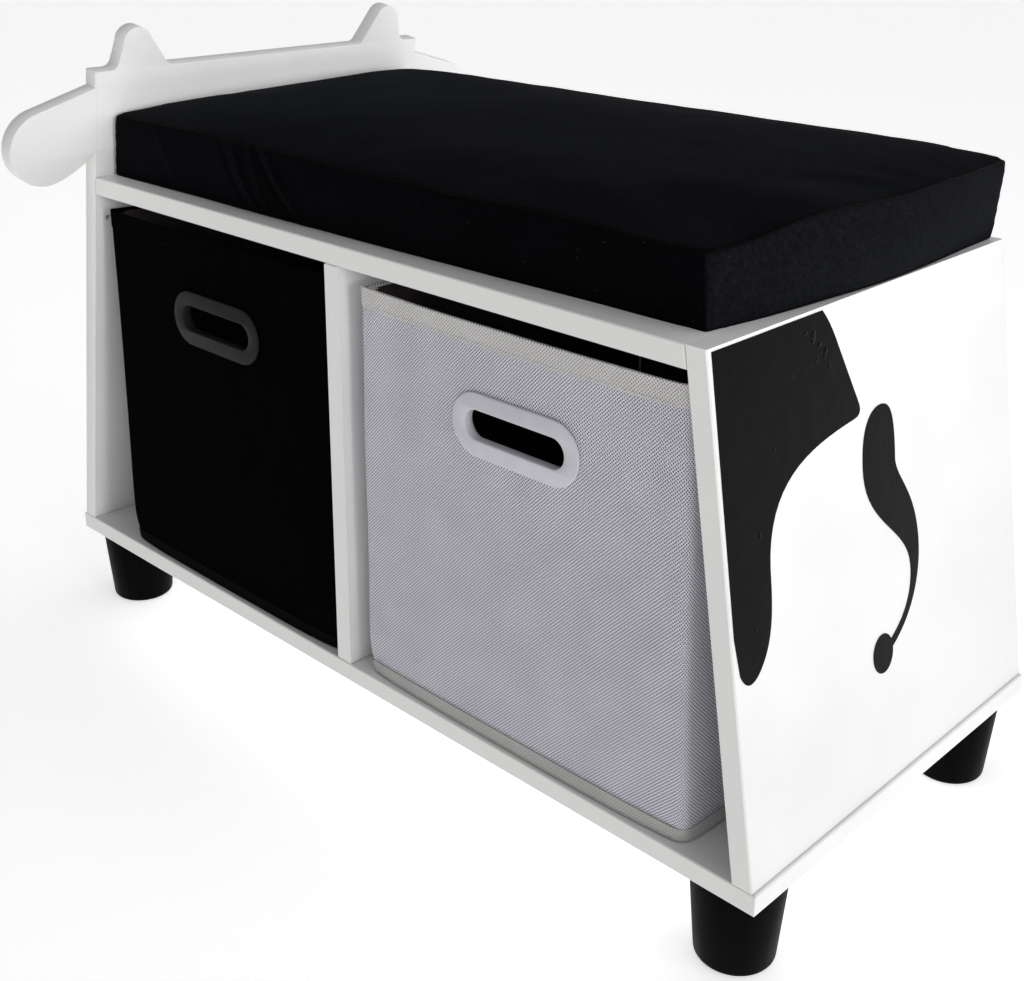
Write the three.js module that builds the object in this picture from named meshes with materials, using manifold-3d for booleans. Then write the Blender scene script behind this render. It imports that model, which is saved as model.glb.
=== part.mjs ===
// A children's storage bench shaped like a cow: a white board carcass with leaning ends, a seat cushion,
// two fabric bins that slide out of the front, and four turned feet. Millimetres, +X along the bench,
// +Y to the back, +Z up. The origin is on the floor, under the middle of the bench.
import * as THREE from "three";
import { mergeVertices } from "three/addons/utils/BufferGeometryUtils.js";
import Module from "manifold-3d";

const wasm = await Module();
wasm.setup();

// ---- driving dimensions ----
const LENGTH = 760;            // the bottom board, end to end
const DEPTH = 350;             // every board, front to back
const BOARD = 15;              // board thickness
const INNER_HEIGHT = 315;      // clear height between the bottom board and the top board
const LEAN = THREE.MathUtils.degToRad(9.3); // how far the two end panels lean in
const PANEL_SETBACK = 2.5;     // bottom board beyond the foot of each end panel
const FOOT_HEIGHT = 66;
const FOOT_INSET = 35;         // foot axis to the edges of the bottom board
const FOOT_TOP_RADIUS = 32;
const FOOT_BOTTOM_RADIUS = 26.5;
const EDGE = 0.8;              // softened board edges
const GAP = 0.3;               // play between pieces that touch
const BACK_THICKNESS = 3;      // back panel
const BACK_INSET = 12;         // back panel to the back edges of the boards
const GROOVE = 5;              // how far the back panel sits in its grooves

const BIN_DEPTH = 300;
const BIN_HEIGHT = 301.5;
const BIN_SETBACK = 6;         // bin front behind the front edges of the boards
const BIN_INNER_LEAN = 2;
// start: the base of the wall nearest the divider, from the middle. outerLean: how far the outer wall
// leans in at its rim. handleAside: the handle's middle beside the middle of the wall, towards +X.
const WHITE_BIN = { start: 22, width: 300, outerLean: 11, handleAside: 5.5 };
const BLACK_BIN = { start: 11, width: 290, outerLean: 1.5, handleAside: 4 };
const FABRIC = 1.2;
const LINING = 0.8;
const CARD = 2.5;
const HANDLE_WIDTH = 112;
const HANDLE_HEIGHT = 45;
const HANDLE_RIM = 12;         // width of the handle's ring
const HANDLE_HEIGHT_UP = 233;  // handle's middle above the bin's base

const CUSHION_LENGTH = 625;
const CUSHION_DEPTH = 329;
const CUSHION_HEIGHT = 56;
const CUSHION_SETBACK = 18;    // cushion front behind the front edges of the boards

// ---- heights and places that follow from them ----
const BASE_TOP = FOOT_HEIGHT + BOARD;
const SEAT_UNDER = BASE_TOP + INNER_HEIGHT;
const SEAT_TOP = SEAT_UNDER + BOARD;
const FRONT = -DEPTH / 2;
const BACK = DEPTH / 2;
const PANEL_FOOT = LENGTH / 2 - PANEL_SETBACK;
const BOARD_ACROSS = BOARD / Math.cos(LEAN);  // an end panel's thickness, measured level
const SEAT_ALONG = (SEAT_TOP - BASE_TOP) / Math.cos(LEAN); // seat height along a leaning panel
const innerFace = (z) => PANEL_FOOT - BOARD_ACROSS - (z - BASE_TOP) * Math.tan(LEAN);
const X = new THREE.Vector3(1, 0, 0);
const Z = new THREE.Vector3(0, 0, 1);

// ---- finishes ----
const finish = (color, roughness, metalness = 0) => ({ color, roughness, metalness });
const WHITE_BOARD = finish(0xf1f1ee, 0.4);
const BLACK_FOOT = finish(0x141416, 0.4);
const STEEL = finish(0xb9bcc0, 0.35, 0.9);
const BEECH = finish(0xd8b98a, 0.7);
const HARDBOARD = finish(0xe9e8e4, 0.6);
const WHITE_FABRIC = finish(0xe4e3ea, 0.9);
const BLACK_FABRIC = finish(0x101115, 0.9);
const GREYBOARD = finish(0x9a9184, 0.9);
const WHITE_PLASTIC = finish(0xdcdce2, 0.45);
const GREY_PLASTIC = finish(0x4a4c4d, 0.45);
const VELVET = finish(0x0b0c10, 0.95);
const FOAM = finish(0xe8dcae, 0.95);
const VINYL = finish(0x08080a, 0.12);

const bench = new THREE.Group();

function addMesh(parent, name, geometry, look) {
  const mesh = new THREE.Mesh(geometry, new THREE.MeshStandardMaterial(look));
  mesh.name = name;
  parent.add(mesh);
  return mesh;
}

// ---- solids: closed three.js geometry in and out of manifold-3d ----
function toSolid(geometry) {
  const bare = geometry.index ? geometry.toNonIndexed() : geometry.clone();
  bare.deleteAttribute("normal");
  bare.deleteAttribute("uv");
  const merged = mergeVertices(bare, 1e-4);
  return new wasm.Manifold(new wasm.Mesh({
    numProp: 3,
    vertProperties: new Float32Array(merged.attributes.position.array),
    triVerts: new Uint32Array(merged.index.array),
  }));
}

function toGeometry(solid) {
  const mesh = solid.getMesh();
  const geometry = new THREE.BufferGeometry();
  geometry.setAttribute("position", new THREE.BufferAttribute(new Float32Array(mesh.vertProperties), 3));
  geometry.setIndex(new THREE.BufferAttribute(new Uint32Array(mesh.triVerts), 1));
  geometry.computeVertexNormals();
  return geometry;
}

function cut(geometry, ...cutters) {
  let solid = toSolid(geometry);
  for (const cutter of cutters) {
    solid = solid.subtract(toSolid(cutter));
  }
  return toGeometry(solid);
}

function join(geometry, other) {
  return toGeometry(toSolid(geometry).add(toSolid(other)));
}

// ---- shapes ----
function polygon(points) {
  return new THREE.Shape(points.map(([x, y]) => new THREE.Vector2(x, y)));
}

function rectangle(width, height) {
  const [x, y] = [width / 2, height / 2];
  return polygon([[-x, -y], [x, -y], [x, y], [-x, y]]);
}

function addCapsule(path, width, height, x = 0, y = 0) {
  const radius = height / 2;
  const reach = width / 2 - radius;
  path.moveTo(x - reach, y - radius);
  path.lineTo(x + reach, y - radius);
  path.absarc(x + reach, y, radius, -Math.PI / 2, Math.PI / 2, false);
  path.lineTo(x - reach, y + radius);
  path.absarc(x - reach, y, radius, Math.PI / 2, 1.5 * Math.PI, false);
  return path;
}

function slab(shape, thickness, edge = 0, curveSegments = 8) {
  const geometry = new THREE.ExtrudeGeometry(shape, {
    depth: thickness - 2 * edge,
    bevelEnabled: edge > 0,
    bevelThickness: edge,
    bevelSize: edge,
    bevelOffset: -edge,
    bevelSegments: 1,
    curveSegments,
  });
  return geometry.translate(0, 0, edge);
}

// A slab drawn in X and Z, standing between two depths.
function standing(shape, front, back, edge = 0) {
  return slab(shape, back - front, edge).rotateX(Math.PI / 2).translate(0, back, 0);
}

// A slab drawn in Y and Z, and thick along +X.
function sideways(shape, thickness, edge = 0, curveSegments = 8) {
  const turn = new THREE.Matrix4().makeBasis(new THREE.Vector3(0, 1, 0), Z, X);
  return slab(shape, thickness, edge, curveSegments).applyMatrix4(turn);
}

// A lathe or cylinder whose axis is +Z, set down at a place and pointed along a direction.
function along(geometry, place, direction) {
  const turn = new THREE.Quaternion().setFromUnitVectors(Z, direction);
  return geometry.applyQuaternion(turn).translate(...place);
}

function rod(radius, length, sides = 16) {
  return new THREE.CylinderGeometry(radius, radius, length, sides)
    .rotateX(Math.PI / 2)
    .translate(0, 0, length / 2);
}

function turned(profile, sides) {
  const points = profile.map(([radius, z]) => new THREE.Vector2(radius, z));
  return new THREE.LatheGeometry(points, sides).rotateX(Math.PI / 2);
}

// ---- fasteners: each hole is cut from every board that the fastener passes through ----
const SCREW = { radius: 2.5, head: 4.5, headHeight: 4, length: 50 };
const DOWEL = { radius: 3.8, length: 23 };
const CAM = { radius: 7.2, height: 11.5, inset: 24 };
const CAM_BOLT = { radius: 2.8, inPanel: 10 };
const STUD = { radius: 3.8, inFoot: 26, inBoard: 11 };
const PLAY = 0.35;
const FIXING_SETBACK = 60;     // fasteners to the front and back edges of the boards
const DOWEL_SETBACK = 92;
const rows = [["front", -1], ["back", 1]];
const ends = [["head", -1], ["tail", 1]];

function screwBody(extra) {
  const { radius, head, headHeight, length } = SCREW;
  return turned([
    [0, -extra], [head + extra, -extra], [head + extra, 0.6], [radius + extra, headHeight],
    [radius + extra, length - 3], [0.6, length + extra], [0, length + extra],
  ], 14);
}

const holes = { bottom: [], top: [], head: [], tail: [], divider: [] };
const fasteners = [];

function addFastener(name, solid, hole, boards, look) {
  fasteners.push([name, solid, look]);
  for (const board of boards) {
    holes[board].push(hole);
  }
}

const UNDER_SCREW_X = PANEL_FOOT - BOARD_ACROSS / 2 - 2.8;
for (const [row, ySide] of rows) {
  const y = ySide * (DEPTH / 2 - FIXING_SETBACK);
  for (const [board, x] of [["head", -UNDER_SCREW_X], ["tail", UNDER_SCREW_X], ["divider", 0]]) {
    const place = [x, y, FOOT_HEIGHT + GAP];
    addFastener(`${board}_base_screw_${row}`, along(screwBody(0), place, Z),
      along(screwBody(PLAY), place, Z), ["bottom", board], STEEL);
  }
  const seatPlace = [0, y, SEAT_TOP - GAP];
  const down = new THREE.Vector3(0, 0, -1);
  addFastener(`divider_seat_screw_${row}`, along(screwBody(0), seatPlace, down),
    along(screwBody(PLAY), seatPlace, down), ["top", "divider"], STEEL);

  for (const [end, xSide] of ends) {
    const z = SEAT_UNDER + BOARD / 2;
    const face = innerFace(z) * xSide;
    const outward = new THREE.Vector3(xSide, 0, 0);
    const camX = face - xSide * CAM.inset;
    const boltStart = [camX + xSide * 2, y, z];
    const boltLength = CAM.inset - 2 + CAM_BOLT.inPanel;
    const bolt = along(rod(CAM_BOLT.radius, boltLength, 12), boltStart, outward);
    const boltHole = along(rod(CAM_BOLT.radius + PLAY, boltLength + 2 * PLAY, 12),
      [boltStart[0] - xSide * PLAY, y, z], outward);
    const cam = rod(CAM.radius, CAM.height, 20).translate(camX, y, SEAT_UNDER + 0.2);
    const camHole = rod(CAM.radius + PLAY, CAM.height + 2, 20).translate(camX, y, SEAT_UNDER - 1);
    const screwdriverSlot = new THREE.BoxGeometry(8, 1.4, 3).translate(camX, y, SEAT_UNDER + 0.2);
    addFastener(`${end}_cam_bolt_${row}`, bolt, boltHole, ["top", end], STEEL);
    addFastener(`${end}_cam_${row}`, cut(cam, boltHole, screwdriverSlot), camHole, ["top"], STEEL);

    const dowelY = ySide * (DEPTH / 2 - DOWEL_SETBACK);
    if (ySide < 0) {
      const dowelStart = [face - xSide * (DOWEL.length - 10), dowelY, z];
      addFastener(`${end}_seat_dowel`, along(rod(DOWEL.radius, DOWEL.length), dowelStart, outward),
        along(rod(DOWEL.radius + PLAY, DOWEL.length + 1), [dowelStart[0] - xSide * 0.5, dowelY, z], outward),
        ["top", end], BEECH);
    }
  }
}

// ---- feet, each on a stud screwed up into the bottom board ----
const footProfile = [
  [0, 0], [FOOT_BOTTOM_RADIUS - 5, 0], [FOOT_BOTTOM_RADIUS - 1.6, 1.4], [FOOT_BOTTOM_RADIUS + 0.1, 5],
  [FOOT_TOP_RADIUS, FOOT_HEIGHT - 2], [FOOT_TOP_RADIUS - 1.2, FOOT_HEIGHT],
  [STUD.radius + PLAY, FOOT_HEIGHT], [STUD.radius + PLAY, FOOT_HEIGHT - STUD.inFoot],
  [0, FOOT_HEIGHT - STUD.inFoot],
];
for (const [row, ySide] of rows) {
  for (const [end, xSide] of ends) {
    const x = xSide * (LENGTH / 2 - FOOT_INSET);
    const y = ySide * (DEPTH / 2 - FOOT_INSET);
    const foot = addMesh(bench, `${end}_foot_${row}`, turned(footProfile, 32), BLACK_FOOT);
    foot.position.set(x, y, 0);
    const studStart = [x, y, FOOT_HEIGHT - STUD.inFoot + GAP];
    addFastener(`${end}_foot_stud_${row}`, along(rod(STUD.radius, STUD.inFoot + STUD.inBoard), studStart, Z),
      rod(STUD.radius + PLAY, STUD.inBoard + 1.5).translate(x, y, FOOT_HEIGHT - 1), ["bottom"], STEEL);
  }
}

for (const [name, solid, look] of fasteners) {
  addMesh(bench, name, solid, look);
}

// ---- the back panel, and the groove it leaves in the boards round it ----
const BACK_FACE = BACK - BACK_INSET;
function backOutline(extra) {
  const low = BASE_TOP - GROOVE - extra;
  const high = SEAT_UNDER + GROOVE + extra;
  const half = (z) => innerFace(z) + GROOVE + extra;
  return polygon([[-half(low), low], [half(low), low], [half(high), high], [-half(high), high]]);
}
const backGroove = standing(backOutline(0.5), BACK_FACE - BACK_THICKNESS - GAP, BACK_FACE + GAP);
addMesh(bench, "back_panel", standing(backOutline(0), BACK_FACE - BACK_THICKNESS, BACK_FACE), HARDBOARD);

// ---- level boards and the divider ----
const bottomBoard = slab(rectangle(LENGTH, DEPTH), BOARD, EDGE).translate(0, 0, FOOT_HEIGHT);
addMesh(bench, "bottom_board", cut(bottomBoard, backGroove, ...holes.bottom), WHITE_BOARD);

const seatHalf = (z) => innerFace(z) - GAP;
const seatOutline = polygon([
  [-seatHalf(SEAT_UNDER), SEAT_UNDER], [seatHalf(SEAT_UNDER), SEAT_UNDER],
  [seatHalf(SEAT_TOP), SEAT_TOP], [-seatHalf(SEAT_TOP), SEAT_TOP],
]);
addMesh(bench, "top_board",
  cut(standing(seatOutline, FRONT, BACK, EDGE), backGroove, ...holes.top), WHITE_BOARD);

const dividerBack = BACK_FACE - BACK_THICKNESS - 2 * GAP;
const divider = slab(rectangle(BOARD, dividerBack - FRONT), INNER_HEIGHT - 2 * GAP, EDGE)
  .translate(0, (dividerBack + FRONT) / 2, BASE_TOP + GAP);
addMesh(bench, "centre_divider", cut(divider, ...holes.divider), WHITE_BOARD);

// ---- end panels, drawn upright in their own groups, which lean in ----
const headEnd = new THREE.Group();
headEnd.position.set(-PANEL_FOOT, 0, BASE_TOP + GAP);
headEnd.rotation.y = LEAN;
const tailEnd = new THREE.Group();
tailEnd.position.set(PANEL_FOOT, 0, BASE_TOP + GAP);
tailEnd.rotation.y = -LEAN;
bench.add(headEnd, tailEnd);

// The cow's head above the seat: a step, a horn and a drooping ear at the front and again at the back.
const CROWN = 426;             // flat top of the head, along the panel
const EAR_ROOT = 412.5;        // ear's upper edge at the panel
const EAR_UNDER = 357;         // ear's lower edge at the panel
const EAR = { y: 218.7, s: 366.7, radius: 31.5 };
const HORN = { y: 135.5, s: 446.5, radius: 13.5, outerFoot: 156, innerFoot: 105 };
function headOutline() {
  const side = DEPTH / 2;
  const shape = new THREE.Shape();
  shape.moveTo(side, -BOARD);
  shape.lineTo(side, EAR_UNDER);
  shape.quadraticCurveTo(EAR.y - 24, EAR.s - 25.5, EAR.y - 6, EAR.s - EAR.radius + 0.6);
  shape.absarc(EAR.y, EAR.s, EAR.radius, -Math.PI * 0.56, Math.PI * 0.42, false);
  shape.lineTo(side, EAR_ROOT);
  shape.lineTo(side, CROWN);
  shape.lineTo(HORN.outerFoot + 4, CROWN);
  shape.quadraticCurveTo(HORN.outerFoot - 2, CROWN + 0.5, HORN.outerFoot - 3.5, CROWN + 8);
  shape.lineTo(HORN.y + HORN.radius, HORN.s);
  shape.absarc(HORN.y, HORN.s, HORN.radius, 0, Math.PI * 0.83, false);
  shape.lineTo(HORN.innerFoot + 2.5, CROWN + 4);
  shape.quadraticCurveTo(HORN.innerFoot + 0.5, CROWN, HORN.innerFoot - 4, CROWN);
  const half = shape.getPoints(10);
  const mirrored = half.map((point) => new THREE.Vector2(-point.x, point.y)).reverse();
  return new THREE.Shape([...half, ...mirrored]);
}

// Cuts a leaning panel in the bench's frame, where its holes are, and brings it back to its group.
function cutInPlace(group, geometry, cutters) {
  group.updateMatrix();
  const placed = geometry.clone().applyMatrix4(group.matrix);
  return cut(placed, ...cutters).applyMatrix4(group.matrix.clone().invert());
}

const underPanels = new THREE.BoxGeometry(LENGTH * 1.2, DEPTH * 1.2, 2 * BOARD)
  .translate(0, 0, BASE_TOP + GAP - BOARD);
const overTail = new THREE.BoxGeometry(LENGTH * 1.2, DEPTH * 1.2, 2 * BOARD)
  .translate(0, 0, SEAT_TOP + BOARD);
const PEG_HOLE = { y: 162.5, s: 299, radius: 2.5, depth: 8 };
const pegHole = along(rod(PEG_HOLE.radius, 2 * PEG_HOLE.depth),
  [BOARD - PEG_HOLE.depth, -PEG_HOLE.y, PEG_HOLE.s], X);
headEnd.updateMatrix();
pegHole.applyMatrix4(headEnd.matrix);

addMesh(headEnd, "head_panel", cutInPlace(headEnd, sideways(headOutline(), BOARD, EDGE),
  [underPanels, backGroove, pegHole, ...holes.head]), WHITE_BOARD);

const tailShape = polygon([
  [FRONT, -BOARD], [BACK, -BOARD], [BACK, SEAT_ALONG + BOARD], [FRONT, SEAT_ALONG + BOARD],
]);
addMesh(tailEnd, "tail_panel", cutInPlace(tailEnd, sideways(tailShape, BOARD, EDGE).translate(-BOARD, 0, 0),
  [underPanels, overTail, backGroove, ...holes.tail]), WHITE_BOARD);

// ---- vinyl stickers on the tail panel: a cow patch and a tail ----
const STICKER = { gap: 0.1, thickness: 0.3 };
function patchOutline() {
  const shape = new THREE.Shape();
  shape.moveTo(-171, 332);
  shape.lineTo(-60, 332);
  shape.quadraticCurveTo(-52, 323, -46, 309);
  shape.lineTo(-26, 265);
  shape.quadraticCurveTo(-23, 257.5, -32, 256.5);
  shape.bezierCurveTo(-88, 252, -129, 243, -132, 191);
  shape.bezierCurveTo(-132.5, 168, -134, 146, -151, 132.5);
  shape.quadraticCurveTo(-163, 124, -169, 138);
  shape.lineTo(-172, 162);
  return shape;
}

const TUFT = { y: -15, s: 91.5, across: 12.2, up: 13.5 };
function cowTailOutline() {
  const shape = new THREE.Shape();
  shape.moveTo(-4.2, 98);
  shape.bezierCurveTo(15, 107, 26, 122, 25, 140);
  shape.bezierCurveTo(24, 167, -24, 181, -26, 217);
  shape.bezierCurveTo(-27, 244, -16, 259, 0, 258);
  shape.bezierCurveTo(13, 257, 15, 244, 13, 217);
  shape.bezierCurveTo(14, 203, 36, 190, 37, 155);
  shape.bezierCurveTo(37.5, 127, 22, 104, -2.8, 92);
  shape.absellipse(TUFT.y, TUFT.s, TUFT.across, TUFT.up, 0, Math.PI / 6, true, 0);
  return shape;
}
const stickers = [["cow_patch_sticker", patchOutline()], ["cow_tail_sticker", cowTailOutline()]];
for (const [name, outline] of stickers) {
  const film = sideways(outline, STICKER.thickness, 0, 14);
  addMesh(tailEnd, name, film.translate(STICKER.gap, 0, 0), VINYL);
}

// ---- seat cushion: a zipped cover over a foam block ----
const cushionLeft = -innerFace(SEAT_TOP) + 1;
const cushionFront = FRONT + CUSHION_SETBACK;
function cushionBlock(inset) {
  const length = CUSHION_LENGTH - 2 * inset;
  const depth = CUSHION_DEPTH - 2 * inset;
  const height = CUSHION_HEIGHT - 2 * inset;
  const soft = 7;
  const block = new THREE.ExtrudeGeometry(rectangle(length - 2 * soft, depth - 2 * soft), {
    depth: height - 2 * soft,
    bevelThickness: soft,
    bevelSize: soft,
    bevelSegments: 4,
  }).translate(length / 2 + inset, depth / 2 + inset, soft + inset);
  const position = block.attributes.position;
  for (let i = 0; i < position.count; i += 1) {
    const nearHead = 1 - position.getX(i) / CUSHION_LENGTH;
    position.setX(i, position.getX(i) + nearHead * Math.tan(LEAN) * position.getZ(i));
  }
  return block.translate(cushionLeft, cushionFront, SEAT_TOP + 0.2);
}
const COVER = 1.6;
const zipSlit = new THREE.BoxGeometry(CUSHION_LENGTH * 0.7, 20, 5)
  .translate(0, cushionFront + CUSHION_DEPTH, SEAT_TOP + 16);
addMesh(bench, "cushion_cover", cut(cushionBlock(0), cushionBlock(COVER), zipSlit), VELVET);
addMesh(bench, "cushion_foam", cushionBlock(COVER + GAP), FOAM);

// ---- fabric bins: outer fabric, stiffening cards, lining, base card and a handle in two halves ----
const LAYER = {
  cardOut: FABRIC + GAP,
  cardIn: FABRIC + GAP + CARD,
  liningOut: FABRIC + CARD + 2 * GAP,
  liningIn: FABRIC + CARD + LINING + 2 * GAP,
};
const RIM = 3;                 // folded hem that closes the wall at the top
const binFront = FRONT + BIN_SETBACK;

function makeBin(name, side, place, fabric, ringLook) {
  const nearWall = (z) => place.start + BIN_INNER_LEAN * z / BIN_HEIGHT;
  const farWall = (z) => place.start + place.width - place.outerLean * z / BIN_HEIGHT;
  const block = (low, high, inset, frontInset = inset, backInset = frontInset) => standing(polygon([
    [side * (nearWall(low) + inset), low], [side * (farWall(low) - inset), low],
    [side * (farWall(high) - inset), high], [side * (nearWall(high) + inset), high],
  ]), binFront + frontInset, binFront + BIN_DEPTH - backInset);
  const bin = new THREE.Group();
  bin.position.z = BASE_TOP + GAP;
  bench.add(bin);

  const wallMiddle = (nearWall(HANDLE_HEIGHT_UP) + farWall(HANDLE_HEIGHT_UP)) / 2;
  const middle = side * wallMiddle + place.handleAside;
  const capsule = (width, height, hole) => {
    const shape = addCapsule(new THREE.Shape(), width, height, middle, HANDLE_HEIGHT_UP);
    if (hole) {
      shape.holes.push(addCapsule(new THREE.Path(), hole[0], hole[1], middle, HANDLE_HEIGHT_UP));
    }
    return shape;
  };
  const opening = [HANDLE_WIDTH - 2 * HANDLE_RIM, HANDLE_HEIGHT - 2 * HANDLE_RIM];
  const collar = [opening[0] + 3.4, opening[1] + 3.4];
  const slotSize = [collar[0] + 1, collar[1] + 1];
  const slot = standing(capsule(...slotSize), binFront - 1, binFront + LAYER.liningIn + 1);

  const top = BIN_HEIGHT;
  const outer = cut(block(0, top, 0), block(FABRIC, top - RIM, FABRIC),
    block(top - RIM - 1, top + 1, LAYER.cardIn), slot);
  addMesh(bin, `${name}_outer_fabric`, outer, fabric);
  const cardLow = FABRIC + GAP;
  const cardHigh = top - RIM - GAP;
  const cardBack = BIN_DEPTH - LAYER.cardIn;
  addMesh(bin, `${name}_front_card`,
    cut(block(cardLow, cardHigh, LAYER.cardOut, LAYER.cardOut, cardBack), slot), GREYBOARD);
  addMesh(bin, `${name}_back_card`,
    block(cardLow, cardHigh, LAYER.cardOut, cardBack, LAYER.cardOut), GREYBOARD);
  const sideCard = (wall, sign) => standing(polygon([
    [side * (wall(cardLow) + sign * LAYER.cardOut), cardLow],
    [side * (wall(cardLow) + sign * LAYER.cardIn), cardLow],
    [side * (wall(cardHigh) + sign * LAYER.cardIn), cardHigh],
    [side * (wall(cardHigh) + sign * LAYER.cardOut), cardHigh],
  ]), binFront + LAYER.cardIn + GAP, binFront + BIN_DEPTH - LAYER.cardIn - GAP);
  addMesh(bin, `${name}_inner_side_card`, sideCard(nearWall, 1), GREYBOARD);
  addMesh(bin, `${name}_outer_side_card`, sideCard(farWall, -1), GREYBOARD);

  const liningLow = FABRIC + GAP;
  const lining = cut(block(liningLow, top, LAYER.liningOut),
    block(liningLow + LINING, top + 1, LAYER.liningIn), slot);
  addMesh(bin, `${name}_lining`, lining, BLACK_FABRIC);
  const baseLow = liningLow + LINING + GAP;
  addMesh(bin, `${name}_base_card`, block(baseLow, baseLow + CARD, LAYER.liningIn + 1), BLACK_FABRIC);

  const plate = standing(capsule(HANDLE_WIDTH, HANDLE_HEIGHT, opening), binFront - 2.8, binFront - 0.2, 0.6);
  const sleeve = standing(capsule(...collar, opening), binFront - 1.5, binFront + LAYER.liningIn + 2);
  addMesh(bin, `${name}_handle_ring`, join(plate, sleeve), ringLook);
  const clip = standing(capsule(HANDLE_WIDTH - 6, HANDLE_HEIGHT - 6, slotSize),
    binFront + LAYER.liningIn + GAP, binFront + LAYER.liningIn + 2);
  addMesh(bin, `${name}_handle_clip`, clip, ringLook);
}

makeBin("white_bin", 1, WHITE_BIN, WHITE_FABRIC, WHITE_PLASTIC);
makeBin("black_bin", -1, BLACK_BIN, BLACK_FABRIC, GREY_PLASTIC);

export default bench;
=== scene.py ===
# %% [markdown]
# # A children's storage bench with a seat cushion and two fabric bins
# The bench's measured solids are loaded first, as a fixed frame. Whatever shows from outside then gets its
# real shape and finish round that frame. Everything is in metres, with +X along the bench, +Y to the back
# and +Z up, and the bench stands on the floor.

# %% Load the frame
import math
import bmesh
import bpy
from mathutils import Matrix, Vector


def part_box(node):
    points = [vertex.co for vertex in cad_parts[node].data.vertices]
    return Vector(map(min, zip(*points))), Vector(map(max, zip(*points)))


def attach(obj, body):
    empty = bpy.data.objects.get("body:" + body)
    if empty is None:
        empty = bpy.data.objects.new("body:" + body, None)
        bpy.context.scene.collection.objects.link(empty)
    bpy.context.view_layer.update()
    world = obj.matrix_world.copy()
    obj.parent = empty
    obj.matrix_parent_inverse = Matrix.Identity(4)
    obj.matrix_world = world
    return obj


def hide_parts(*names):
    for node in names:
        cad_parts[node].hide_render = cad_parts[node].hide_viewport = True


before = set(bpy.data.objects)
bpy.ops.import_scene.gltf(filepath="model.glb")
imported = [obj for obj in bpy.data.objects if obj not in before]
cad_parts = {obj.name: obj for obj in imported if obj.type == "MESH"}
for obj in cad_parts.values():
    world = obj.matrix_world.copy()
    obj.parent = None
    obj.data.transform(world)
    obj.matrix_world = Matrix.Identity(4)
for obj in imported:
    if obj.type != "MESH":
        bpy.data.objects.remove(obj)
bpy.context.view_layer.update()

MM = 0.001

# %% [markdown]
# The camera stands to the right of the bench, a little above it, and looks down along it. Its lens is a long
# one, so the bench's lines stay calm, and the small shift frames the bench without tilting the camera, which
# would make the upright edges lean.

# %% Camera
AZIMUTH, ELEVATION, ROLL = math.radians(43.927), math.radians(18.731), math.radians(0.412)
toward_camera = Vector((math.sin(AZIMUTH) * math.cos(ELEVATION), -math.cos(AZIMUTH) * math.cos(ELEVATION),
                        math.sin(ELEVATION)))
level_right = Vector((math.cos(AZIMUTH), math.sin(AZIMUTH), 0))
level_up = toward_camera.cross(level_right)
right = math.cos(ROLL) * level_right + math.sin(ROLL) * level_up
up = -math.sin(ROLL) * level_right + math.cos(ROLL) * level_up
bpy.ops.object.camera_add()
camera = bpy.context.object
camera.matrix_world = Matrix.Translation((0.7650, -0.7864, 0.6634)) @ Matrix(
    (right, up, toward_camera)).transposed().to_4x4()
camera.data.sensor_width = 36
camera.data.lens = 50.7
camera.data.shift_y = -0.1372
camera.data.clip_start = 0.01
bpy.context.scene.camera = camera
print("camera at", [round(value, 3) for value in camera.location])

# %% [markdown]
# A studio for a white object is a big pale floor and soft light from everywhere, with one large lamp on the
# side that should look brightest. Here that is the right end, so the front stays a light grey and each edge
# can be seen. The lamp is wide, so that shadows have no hard border.

# %% Floor and light
scene = bpy.context.scene
scene.view_settings.view_transform = "Standard"
world = bpy.data.worlds.new("studio")
world.use_nodes = True
sky_nodes = world.node_tree.nodes
direction = sky_nodes.new("ShaderNodeTexCoord")
sky = {}
for name, axis, values in (("upward", (0, 0, 1), (0.12, 0.62, 1.0, 0.34)),
                           ("sideways", (0.9, 0.44, 0), (-0.8, 0.8, 0.26, 1.42))):
    along = sky_nodes.new("ShaderNodeVectorMath")
    along.operation = "DOT_PRODUCT"
    along.inputs[1].default_value = axis
    world.node_tree.links.new(direction.outputs["Generated"], along.inputs[0])
    fade = sky_nodes.new("ShaderNodeMapRange")
    for place, value in enumerate(values, 1):
        fade.inputs[place].default_value = value
    world.node_tree.links.new(along.outputs["Value"], fade.inputs[0])
    sky[name] = fade.outputs[0]
both = sky_nodes.new("ShaderNodeMath")
both.operation = "MULTIPLY"
world.node_tree.links.new(sky["upward"], both.inputs[0])
world.node_tree.links.new(sky["sideways"], both.inputs[1])
world.node_tree.links.new(both.outputs[0], sky_nodes["Background"].inputs["Strength"])
sky_nodes["Background"].inputs["Color"].default_value = (0.99, 0.995, 1.0, 1)
scene.world = world


def soft_lamp(name, place, aim, size, watts):
    bpy.ops.object.light_add(type="AREA", location=place)
    lamp = bpy.context.object
    lamp.name = name
    lamp.data.shape = "DISK"
    lamp.data.size = size
    lamp.data.energy = watts
    lamp.rotation_euler = (Vector(aim) - Vector(place)).to_track_quat("-Z", "Y").to_euler()
    return lamp


soft_lamp("right_lamp", (2.6, 0.5, 0.75), (0, 0, 0.3), 1.4, 9)
soft_lamp("top_lamp", (0.1, 0.1, 2.6), (0, 0, 0.2), 2.0, 7)
bpy.ops.object.light_add(type="SPOT", location=(2.4, -0.4, 0.8))
head_lamp = bpy.context.object
head_lamp.name = "head_lamp"
head_lamp.data.energy = 95
head_lamp.data.shadow_soft_size = 0.35
head_lamp.data.spot_size = math.radians(19)
head_lamp.data.spot_blend = 1.0
head_lamp.rotation_euler = (Vector((-0.33, 0, 0.47)) - head_lamp.location).to_track_quat("-Z", "Y").to_euler()
bpy.ops.mesh.primitive_plane_add(size=60)
floor = bpy.context.object
floor.name = "studio_floor"

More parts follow.
